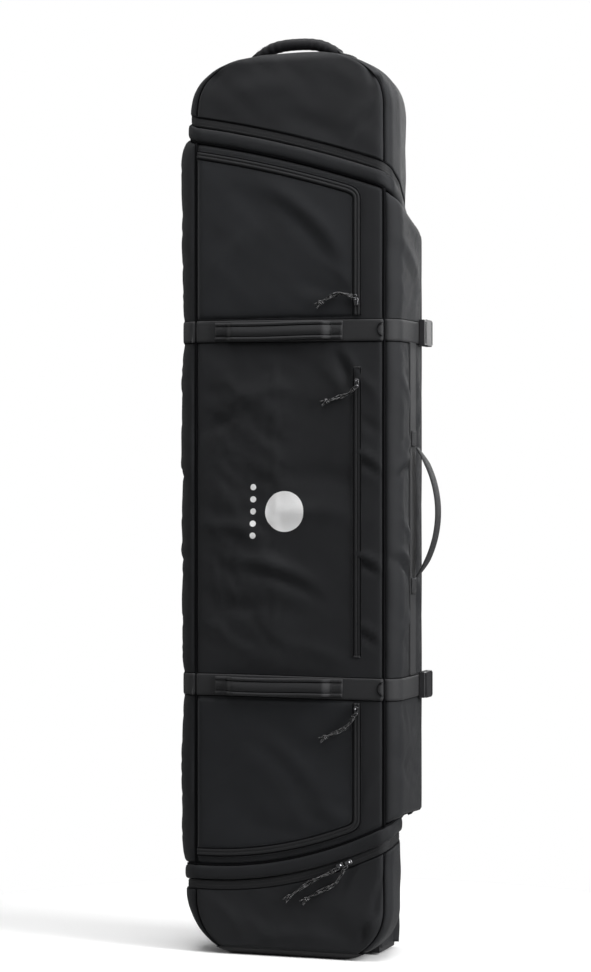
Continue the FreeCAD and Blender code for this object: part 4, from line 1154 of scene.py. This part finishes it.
def band(end, name, sign):
    """Zip tape with its coil on the tub, and the padded roll beside it on the lid."""
    def at(shift, lift, *ends):
        return band_path(end, sign * shift, lift, *ends)

    cloth = tape(f"zip_tape_{name}_cloth", *at(0.0092, -0.0034),
                 flat_profile(0.0172, 0.0012, 0, 0.0006, parts=10), "tub")
    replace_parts(cloth, f"zip_tape_{name}")
    coil(f"zip_coil_{name}", *at(0.0042, -0.0020), 0, "tub", 0.0040, 0.0007, 0.0018)
    sewn = at(0.0150, -0.0018)
    stitches(f"zip_sewing_{name}", [(*sewn, 0, 0), (*sewn, sign * -0.0050, 0.0002)], "tub",
             radius=0.00045, pitch=0.0042)
    piping_and_shade(f"band_edge_{name}", *at(0.0180, -0.0012), 0.0024, 0.0022, -0.0014, "tub")
    lid_ends = HINGE_CLEAR, LID_REAR - 0.001
    padded, padded_out = at(-0.0134, 0, *lid_ends)
    swell = 1 + 0.05 * wander(padded, 22.0, 11)
    at_seam = 0.12 * bell(np.abs(padded[:, 0]) - SEAM, 0.0022)
    profile = round_profile(0.0245, 0.0125, -0.0086, 2.7, 22) * (swell - at_seam)[:, None, None]
    roll = sweep(f"padded_roll_{name}", padded, padded_out, profile, TWILL, "lid")
    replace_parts(roll, f"storm_roll_{name}")
    # near-black strip in the gap between the padded roll and the lid's panel: painted shadow
    piping_and_shade(f"roll_gap_shadow_{name}", *at(-0.0272, 0, *lid_ends), 0.0050, 0.0050, -0.0040)
    stitches(f"roll_sewing_{name}", [(padded, padded_out, sign * 0.0098, 0.0026)])


band("top", "top", 1)
band("foot", "bottom", -1)


def upright_line(side, y, lift, shift, step=0.006):
    """A line up the bag's middle at a fixed y on one side, a shift short of both bands."""
    xy, out = MID.at(np.array([MID.place(side, y)]))
    ends = {end: CAPS[end].at(np.array([CAPS[end].place(side, y)]))[0][0] for end in CAPS}
    low = slit("foot", *ends["foot"]) + LID_GAP
    high = slit("top", *ends["top"]) - LID_GAP
    z = np.linspace(low + shift, high - shift, round((high - low - 2 * shift) / step))
    flat = xy * np.ones((len(z), 1))
    for end, distance in (("foot", z - low), ("top", high - z)):
        flat = flat + (ends[end] + out[0] * 0.001 - flat) * shoulder(end, xy[0, 0], distance)[:, None]
    return raised(flat, out[0], lift, z)


def side_zip():
    """The main zip's long run down the right rear edge."""
    run = upright_line("right", (LID_REAR + TUB_REAR) / 2, -0.0034, 0.002)
    cloth = tape("zip_tape_side_cloth", *run, flat_profile(0.0056, 0.0012, 0, 0.0003, parts=6), "tub")
    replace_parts(cloth, "zip_tape_side")
    coil("zip_coil_side", *run, 0.0014, "tub", 0.0034, 0.0006, 0.0018)


side_zip()


# -------------------------------------------------------------- seams down the lid's front

def panel_seam(side, sign):
    """Thick near-black piped seam between the lid's front and side panels; its width and darkness also
    paint the shadow in the gap between the panels.
    """
    (x, y), out = [values[0] for values in MID.at(np.array([MID.place("front", sign * SEAM)]))]
    low, high = slit("foot", x, y) + LID_GAP + 0.001, slit("top", x, y) - LID_GAP - 0.001
    z = np.linspace(low, high, 180)
    sway = 0.0006 * np.array([noise.noise(Vector((sign, 3.0, v * 9))) for v in z])
    out = upright(out, 0.0)
    piping_and_shade(f"seam_{side}", xyz(x + sway * 1.5, y, z) - out * 0.0030, out, 0.0056, 0.0044, -0.0012)


panel_seam("left", -1)
panel_seam("right", 1)


# ------------------------------------------------------------------------------- pockets

def pocket_top(end, x, inset=0.0):
    """Height of a pocket's slanted edge at x, with its round corner at the right."""
    right, radius = POCKET_RIGHT - inset, POCKET_ROUND - inset / 2
    away = -POCKET_INSET - inset if end == "top" else POCKET_INSET + inset
    turn = right - radius
    over = portion(x - turn, radius)
    drop = radius * (1 - np.sqrt(1 - over ** 2))
    level = slit(end, np.minimum(x, turn), FRONT) + away
    slope = (slit(end, turn, FRONT) - slit(end, turn - 0.01, FRONT)) / 0.01
    rounded = slit(end, turn, FRONT) + away + slope * (x - turn) * (1 - over)
    level = np.where(x > turn, rounded, level)
    return level - drop if end == "top" else level + drop


def pocket_outline(end, inset, limit, step=0.004):
    """The pocket's free edge: along the slanted top, round the corner and down its right side."""
    right, radius = POCKET_RIGHT - inset, POCKET_ROUND - inset / 2
    straight = np.arange(POCKET_LEFT, right - radius, step)
    angle = np.linspace(0, math.pi / 2, 12)
    x = np.concatenate([straight, right - radius + radius * np.sin(angle)])
    z = pocket_top(end, x, inset)
    drop = np.arange(step, abs(z[-1] - limit), step)
    toward = -1 if end == "top" else 1
    x = np.concatenate([x, np.full(len(drop), right)])
    z = np.concatenate([z, z[-1] + toward * drop])
    return x, z


POCKET_FOLDS = {
    "top": [(0, 1342, -33, 62, 16, 1.0), (73, 1278, -50, 62, 16, 1.1), (30, 1288, -44, 70, 14, -0.8),
            (-60, 1330, -40, 60, 20, -0.6), (100, 1205, -40, 44, 11, 0.7), (-120, 1240, 44, 60, 18, 0.7),
            (60, 1180, -20, 60, 12, -0.5)],
    "foot": [(-130, 300, 50, 60, 18, 0.8), (-110, 350, 55, 60, 16, -0.6), (90, 250, -30, 50, 14, 0.8),
             (10, 220, -12, 70, 14, -0.7), (10, 350, -42, 60, 14, 0.8), (-40, 330, -40, 80, 20, 0.6)],
}


CALM = {"top": 1.165, "foot": 0.410}      # where each pocket's pull lies


def pocket(end, name, limit, seed):
    """A flat pocket that reaches from a covered zip under the slanted band to its limit."""
    radius = 0.016
    turn = POCKET_RIGHT - ZIP_WIDE - radius
    x = np.concatenate([np.linspace(POCKET_LEFT, turn, 44),
                        turn + radius * np.sin(np.linspace(0, math.pi / 2, 9)[1:])])
    edge = pocket_top(end, x, ZIP_WIDE)
    share = spaced(1.0, 0.03, (0, 0.006, 0.014, 0.026))
    z = limit + share[:, None] * (edge - limit)
    columns = x * np.ones_like(z)
    border_x, border_z = pocket_outline(end, ZIP_WIDE, limit)
    gap = np.min(np.hypot(columns[..., None] - border_x, z[..., None] - border_z), axis=-1)
    gap = np.minimum(gap, columns - POCKET_LEFT)
    foot_gap = np.abs(z - limit)
    rise = rising(gap, 0.012) * rising(foot_gap, 0.012)
    calm = 1 - 0.8 * np.exp(-((columns - 0.10) / 0.05) ** 2 - ((z - CALM[end]) / 0.035) ** 2)
    push = 0.0022 + rise * calm * (0.0016 + 0.0016 * crumple(columns, z, seed))
    push = push + folds(columns, z, POCKET_FOLDS[end]) * rise
    push = push - 0.0016 * bell(gap, 0.002) - 0.0022 * bell(foot_gap, 0.003)
    grid = xyz(columns, FRONT - push, z)
    if end == "foot":
        grid = grid[::-1]
    made = sheet(f"{name}_pocket_panel", grid, grid[..., 0], [TWILL_SMOOTH, LINING], "lid")
    thicken(made, 0.0018, lining=False)
    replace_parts(made, f"{name}_pocket")
    zip_x, zip_z = pocket_outline(end, ZIP_WIDE / 2, limit)
    side = 1 if end == "top" else -1
    path = xyz(zip_x, FRONT - 0.0024, zip_z)
    section = mirrored([(0.0007, 0.0017), (0.0030, 0.0019), (0.0052, 0.0016), (0.0059, 0.0006)],
                       (0.0059, -0.0012), [(0.0, 0.0008)])
    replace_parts(tape(f"{name}_pocket_zip_tape", path, FORWARD, section), f"{name}_pocket_zip")
    across = np.cross(FORWARD, unit(np.gradient(path, axis=0))) * side * 0.0064
    for label, shift, wide in (("outer", across, 0.0030), ("inner", -across, 0.0022)):
        piping_and_shade(f"{name}_pocket_piping_{label}", path + shift, FORWARD, wide, 0.0028, -0.0012)
    coil(f"{name}_pocket_zip_coil", path, FORWARD, 0.0012)
    stitches(f"{name}_pocket_sewing", [(path, FORWARD, side * 0.0086, 0.0012),
                                       (path, FORWARD, -side * 0.0092, 0.0026)], pitch=0.0042)


pocket("top", "top", TOP_POCKET_LOW, 21)
pocket("foot", "bottom", FOOT_POCKET_HIGH, 22)


def middle_zip():
    """Zip of the inside pocket: its tape, a welt on each side and a stitched box at both ends."""
    x = POCKET_RIGHT - ZIP_WIDE / 2
    path = xyz(x, FRONT - 0.0004, np.linspace(MID_ZIP_LOW, MID_ZIP_HIGH, 120))
    section = mirrored([(0.0008, 0.0013), (0.0030, 0.0014), (0.0050, 0.0012), (0.0056, 0.0004)],
                       (0.0056, -0.0020), [(0.0, 0.0005)])
    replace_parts(tape("middle_zip_tape", path, FORWARD, section), "middle_pocket_zip")
    for label, shift in (("left", -0.0064), ("right", 0.0064)):
        piping_and_shade(f"middle_zip_welt_{label}", path + RIGHT * shift, FORWARD, 0.0026, 0.0030, -0.0012)
    coil("middle_zip_coil", path, FORWARD, 0.0008)
    stitches("middle_zip_sewing", [(path, FORWARD, s, 0.0016) for s in (0.0088, -0.0088)],
             pitch=0.0042)
    ends = [sweep("zip_stop", xyz(np.linspace(x - 0.006, x + 0.006, 6), FRONT - 0.0016, z), FORWARD,
                  flat_profile(0.0034, 0.0016, -0.0006, 0.0003), THREAD, "lid")
            for z in (MID_ZIP_LOW, MID_ZIP_HIGH)]
    join("middle_zip_stops", ends)


middle_zip()


# ------------------------------------------------------------------ straps and their parts

def strap_lift(gone, marks, base, dip=0.0034, width=0.0035):
    """The strap's height over the cloth, which dips where it is sewn into a seam."""
    total = np.full_like(gone, base)
    for mark in marks:
        total = total - dip * bell(gone - mark, width)
    return total


def strap(name, level):
    """Compression strap: sewn into the seams, then over the right side to its buckle."""
    a, b = MID.place("left", 0.030), MID.place("right", 0.041)
    marks = [MID.place("front", -SEAM), MID.place("front", SEAM)]
    dips = [mark + np.linspace(-0.008, 0.008, 9) for mark in marks]
    gone = np.sort(np.concatenate([np.linspace(a, b, 190), *dips]))
    lift = strap_lift(gone, [*marks, a], 0.0006)
    path, out = raised(*MID.at(gone), lift, level + 0.0012 * np.sin((gone - a) * 9.0))
    made = webbing_run(f"strap_{name}_webbing", path, out,
                       flat_profile(STRAP_WIDE, 0.0020, 0, 0.0003, 0.0008, 14))
    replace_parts(made, f"strap_{name}")
    # near-black strips on the cloth along both edges of the strap: painted shadow under the raised strap
    edge_shadows = [path + UP * sign * (STRAP_WIDE / 2 + 0.0008) - out * 0.0004 for sign in (-1, 1)]
    join(f"strap_{name}_edge_shadows", [piping_and_shade("binding", edge, out, 0.0022, 0.0022, -0.0012, parts=6)
                                    for edge in edge_shadows])
    front = np.abs(path[:, 0]) < 0.165
    stitches(f"strap_{name}_sewing", [(path[front], out[front], s, 0.0022) for s in (-0.0172, 0.0172)])


def grab_handle(name, level):
    """Folded webbing handle, open between two sewn ends, with a turned-in middle band."""
    left, right, tab, ramp, gap = -0.137, 0.101, 0.020, 0.016, 0.0096
    turns = [left, left + tab, left + tab + ramp, right - tab - ramp, right - tab, right]
    runs = [np.linspace(a, b, n)[1:] for a, b, n in zip(turns, turns[1:], (8, 9, 40, 9, 8))]
    x = np.concatenate([[left], *runs])
    share = np.clip(np.minimum((x - left - tab) / ramp, (right - tab - x) / ramp), 0, 1)
    base, thick = FRONT - 0.0034, 0.0034
    path = xyz(x, base - gap * eased(share), level + 0.0006 * np.sin(x * 30))
    section = mirrored([(0.0078, 0.0026), (0.0086, 0.0016), (0.0098, 0.0016), (0.0106, 0.0034),
                        (0.0134, 0.0036), (0.0157, 0.0026), (0.0160, 0.0004)], (0.0110, 0.0))
    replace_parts(webbing_run(f"grab_{name}_webbing", path, FORWARD, section), f"grab_handle_{name}")
    # near-black strips in the middle band's two fold lines: painted shade in the creases
    join(f"grab_{name}_crease_shadows", [piping_and_shade("crease", path[7:-7] + UP * shift, FORWARD, 0.0018, 0.0016,
                                         0.0008, parts=6) for shift in (-0.0092, 0.0092)])
    seams = []
    for start in (left + 0.002, right - tab + 0.001):
        sides = [start, start + tab - 0.004]
        seams += [xyz(sides, base, level - 0.0125 + k * 0.0083) for k in range(4)]
        seams += [xyz(side, base, [level - 0.0135, level + 0.0135]) for side in sides]
    rows = [(seam, FORWARD, 0, thick + 0.0002) for seam in seams]
    rows += [(path[8:-8], FORWARD, shift, thick) for shift in (-0.0128, 0.0128)]
    stitches(f"grab_{name}_sewing", rows, long=0.0026, pitch=0.0036)


def strap_tack():
    """Half-moon of dense stitching where each strap meets the right-hand seam."""
    angle = np.linspace(math.radians(100), math.radians(260), 24)
    arcs = [xyz(SEAM + 0.001 + radius * np.cos(angle), FRONT - 0.0029, level + radius * np.sin(angle))
            for level in STRAPS.values() for radius in (0.0125, 0.0110, 0.0095)]
    join("strap_tack_outlines", [piping_and_shade("tack", arc + FORWARD * 0.0001, FORWARD, 0.0012, 0.0012, 0,
                                        parts=6) for arc in arcs[::3]])
    made = stitches("strap_tack_sewing", [(arc, FORWARD, 0, 0) for arc in arcs], long=0.0024,
                    radius=0.0006, pitch=0.0019)
    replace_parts(made, "strap_tacks")


for strap_name, strap_level in STRAPS.items():
    strap(strap_name, strap_level)
    grab_handle(strap_name, strap_level)
strap_tack()


def side_webbing():
    """The tape down the right side, with the carry handle's two sewn ends."""
    z = np.linspace(STRAPS["bottom"] + 0.020, STRAPS["top"] - 0.020, 150)
    path = xyz(0.2006, SIDE_HANDLE_Y, z)
    made = webbing_run("side_tape_webbing", path, RIGHT,
                       flat_profile(STRAP_WIDE, 0.0016, 0, 0.0002, 0.0006, 12))
    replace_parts(made, "side_tape")
    stitches("side_tape_sewing", [(path, RIGHT, s, 0.0019) for s in (-0.0168, 0.0168)])
    x = 0.2027
    tabs, rows = [], []
    for start in (0.642, 0.903):
        line = xyz(x, SIDE_HANDLE_Y, np.linspace(start, start + 0.028, 10))
        tabs.append(webbing_run("tab", line, RIGHT, flat_profile(0.026, 0.0026, 0, 0.0004, 0.0008, 8)))
        bars = [xyz(x, [-0.016, 0.006], z_bar) for z_bar in (start + 0.002, start + 0.026)]
        rows += [(line[1:-1], RIGHT, s, 0.0032) for s in FOUR_ROWS]
        rows += [(bar, RIGHT, 0, 0.0032) for bar in bars]
    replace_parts(join("side_handle_tabs", tabs), "side_handle_anchors")
    stitches("side_handle_sewing", rows, long=0.0026, pitch=0.0034)


def side_handle():
    """Webbing arch on the side, folded narrow at its ends and rolled round a soft core."""
    low, high, foot, peak = 0.6735, 0.8995, 0.2078, 0.245
    t = np.linspace(0, 1, 70)
    half, rise = (high - low) / 2, peak - foot
    radius = (half ** 2 + rise ** 2) / (2 * rise)
    z = low + (high - low) * t
    x = foot + np.sqrt(radius ** 2 - (z - (low + high) / 2) ** 2) - (radius - rise)
    path = xyz(x + 0.0006, SIDE_HANDLE_Y, z)
    share = np.clip(np.minimum(t, 1 - t) / 0.13, 0, 1)
    size = np.stack([0.012 + 0.018 * eased(share), 0.7 + 0.4 * share], axis=1)
    made = webbing_run("side_handle_webbing", path, facing(path, 0),
                       round_profile(1.0, 0.0050, 0, 3.0, 20) * size[:, None], "side_handle")
    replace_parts(made, "side_handle")


side_webbing()
side_handle()


# ----------------------------------------------------------------- padded handle on the end

def top_handle():
    """Padded grip: a sewn sleeve with gathers at both ends, bent into a low arch."""
    half, foot, peak = 0.079, 1.599, 1.6205
    wide, thick = 0.0250, 0.0205
    x = np.linspace(-half, half, 110)
    path = xyz(x, TOP_HANDLE_Y, peak - (peak - foot) * np.abs(x / half) ** 2.6)
    out = facing(path, 2)
    gathers = 0.035 * np.sin(x * 2 * math.pi / 0.0125 + 0.6 * np.sin(x * 90))
    gathers = gathers * np.clip((np.abs(x) - 0.008) / 0.03, 0.25, 1)
    size = 0.72 + 0.28 * np.clip((half - np.abs(x)) / 0.034, 0, 1) + gathers
    profile = round_profile(wide, thick, -thick / 2, 2.3, 24) * size[:, None, None]
    grip = sweep("top_handle_grip", path, out, profile, GRIP, "top_handle")
    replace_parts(grip, "top_handle")
    rows = [(path[6:-6], out[6:-6], shift, thick * 0.40) for shift in (-0.008, 0.008)]
    sewing = stitches("top_handle_sewing", rows, "top_handle", long=0.0028, pitch=0.0042)
    for piece in (grip, sewing):
        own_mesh(piece)


def top_handle_tabs():
    """Webbing at both ends of the grip: out of the sleeve, down to the cap and sewn flat."""
    x = np.array([0.068, 0.074, 0.079, 0.083, 0.088, 0.094, 0.100, 0.106])
    dome = np.array([1.6072, 1.6062, 1.6030, 1.5985, 1.5962, 1.5948, 1.5930, 1.5905])
    rows = []
    for side, sign in (("left", -1), ("right", 1)):
        path, _ = resampled(xyz(sign * x, TOP_HANDLE_Y, dome)[::sign], UP, 0.002)
        out = facing(path, 2)
        share = portion(np.abs(path[:, 0]) - 0.070, 0.016)
        size = np.stack([0.54 + 0.46 * share, np.ones_like(share)], axis=1)
        profile = flat_profile(0.026, 0.0026, 0, 0.0003, 0.0008, 8) * size[:, None]
        tab = webbing_run(f"top_handle_tab_{side}", path, out, profile, None)
        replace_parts(tab, "top_handle_anchors")
        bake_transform(tab)
        sewn = np.abs(path[:, 0]) > 0.087
        rows += [(path[sewn], out[sewn], s, 0.0031) for s in FOUR_ROWS]
    stitches("top_handle_tab_sewing", rows, "tub", long=0.0024, pitch=0.0034)


top_handle()
top_handle_tabs()


# ------------------------------------------------------- webbing at the back and inside

def buckle_webbing():
    """Short webbing that ties each buckle's socket round the rear edge to the back."""
    a, b = MID.place("right", TUB_REAR + 0.0015), MID.place("back", 0.125)
    gone = np.linspace(a, b, 46)
    profile = flat_profile(STRAP_WIDE, 0.0020, 0, 0.0003, 0.0008, 12)
    parts = [webbing_run("anchor", *raised(*MID.at(gone), strap_lift(gone, [b], 0.0006), level),
                         profile, "tub") for level in STRAPS.values()]
    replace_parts(join("buckle_anchor_webbing", parts), "buckle_anchors")


def inner_straps():
    """Straps inside the tub that hold the snowboard."""
    x = np.linspace(-0.138, 0.138, 60)
    profile = flat_profile(STRAP_WIDE, 0.0015, -0.0015, 0.0, 0.0004, 10)
    parts = [webbing_run("strap", xyz(x, 0.0604, level), FORWARD, profile, "tub")
             for level in (0.420, 1.150)]
    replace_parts(join("inner_strap_webbing", parts), "board_straps")


buckle_webbing()
inner_straps()


def back_bindings(grid, out):
    """Piping down both sides of the back, where the side walls are sewn on."""
    middle = len(grid) // 2
    inner = slice(3, -3)
    parts = []
    for sign in (-1, 1):
        column = int(np.argmin(np.abs(grid[middle, :, 0] - sign * SEAM)))
        run = resampled(grid[inner, column], out[inner, column], PIPING_STEP)
        parts.append(piping_and_shade("binding", *run, 0.0044, 0.0040, -0.0010, "tub"))
    join("back_piping", parts)


back_bindings(back_grid, back_out)


# ------------------------------------------------------- materials of the CAD parts shown

CAD_MATERIALS = {
    "kick_plate": MOULDING, "kick_rivets": STEEL, "wheel_housing": MOULDING, "wheel_tyre": TYRE,
    "wheel_hub": HUB, "wheel_bearings": STEEL, "axle_bolts": STEEL, "axle_nuts": STEEL,
    "skid_rails": MOULDING, "rail_screws": STEEL, "back_board": BOARD, "buckle_female": BUCKLE,
    "buckle_male": BUCKLE, "board_strap_buckles": BUCKLE, "slider": SLIDER,
}
for node_name, node_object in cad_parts.items():
    for prefix, material in CAD_MATERIALS.items():
        if node_name.startswith(prefix):
            for place in node_object.material_slots:
                place.link = "OBJECT"
                place.material = material


# ------------------------------------------------------------------------- floor and light

FLOOR_BOUNCE = (0.42, 0.42, 0.42, 1)      # what the pale floor gives back to the bag's foot
ROOM_LIGHT = 0.06                         # the white room's light on the bag


def stage():
    """A round pale floor, just under the bag's sole."""
    radius, level = 0.9, -0.0006
    angle = np.linspace(0, 2 * math.pi, 97)[:-1]
    corners = [(radius * math.cos(a), radius * math.sin(a), level) for a in angle]
    mesh = bpy.data.meshes.new("floor")
    mesh.from_pydata(corners, [], [tuple(range(96))])
    floor = bpy.data.objects.new("floor", mesh)
    s = Shader("pale_floor")
    grain = s.noise(s.solid(), 900.0)
    pale = s.ramp(grain, (0.90, 0.90, 0.90), (0.94, 0.94, 0.94))
    seen = s.node("ShaderNodeLightPath").outputs["Is Camera Ray"]
    s.set(Base_Color=s.mix(seen, FLOOR_BOUNCE, pale), Roughness=0.8)
    mesh.materials.append(s.material)
    bpy.context.scene.collection.objects.link(floor)


def lamp(name, place, aim_high, size, power):
    """A soft box that faces the bag's middle line at a height."""
    data = bpy.data.lights.new(name, "AREA")
    data.shape = "RECTANGLE"
    data.size, data.size_y = size
    data.energy = power
    made = bpy.data.objects.new(name, data)
    made.location = place
    made.rotation_euler = (Vector((0, 0, aim_high)) - Vector(place)).to_track_quat("-Z", "Y").to_euler()
    bpy.context.scene.collection.objects.link(made)


def light():
    """Soft boxes at both sides and above, and a white room that shows behind the bag."""
    lamp("key_right", (3.0, -0.7, 1.7), 0.8, (1.0, 2.4), 148)
    lamp("fill_front", (0.9, -3.4, 3.2), 0.9, (1.6, 1.2), 28)
    lamp("edge_left", (-2.8, -0.2, 1.5), 0.8, (0.8, 2.4), 16)
    lamp("back", (0.4, 3.4, 2.0), 0.8, (2.4, 2.0), 45)
    lamp("overhead", (0.2, -0.4, 3.4), 0.4, (2.6, 2.6), 112)
    world = bpy.data.worlds.new("studio")
    world.use_nodes = True
    tree = world.node_tree
    background = tree.nodes["Background"]
    seen = tree.nodes.new("ShaderNodeLightPath").outputs["Is Camera Ray"]
    level = tree.nodes.new("ShaderNodeMapRange")
    level.inputs["To Min"].default_value = ROOM_LIGHT
    level.inputs["To Max"].default_value = 1.0
    tree.links.new(seen, level.inputs["Value"])
    background.inputs["Color"].default_value = (1, 1, 1, 1)
    tree.links.new(level.outputs[0], background.inputs["Strength"])
    bpy.context.scene.world = world
    bpy.context.scene.view_settings.view_transform = "Standard"


stage()
light()
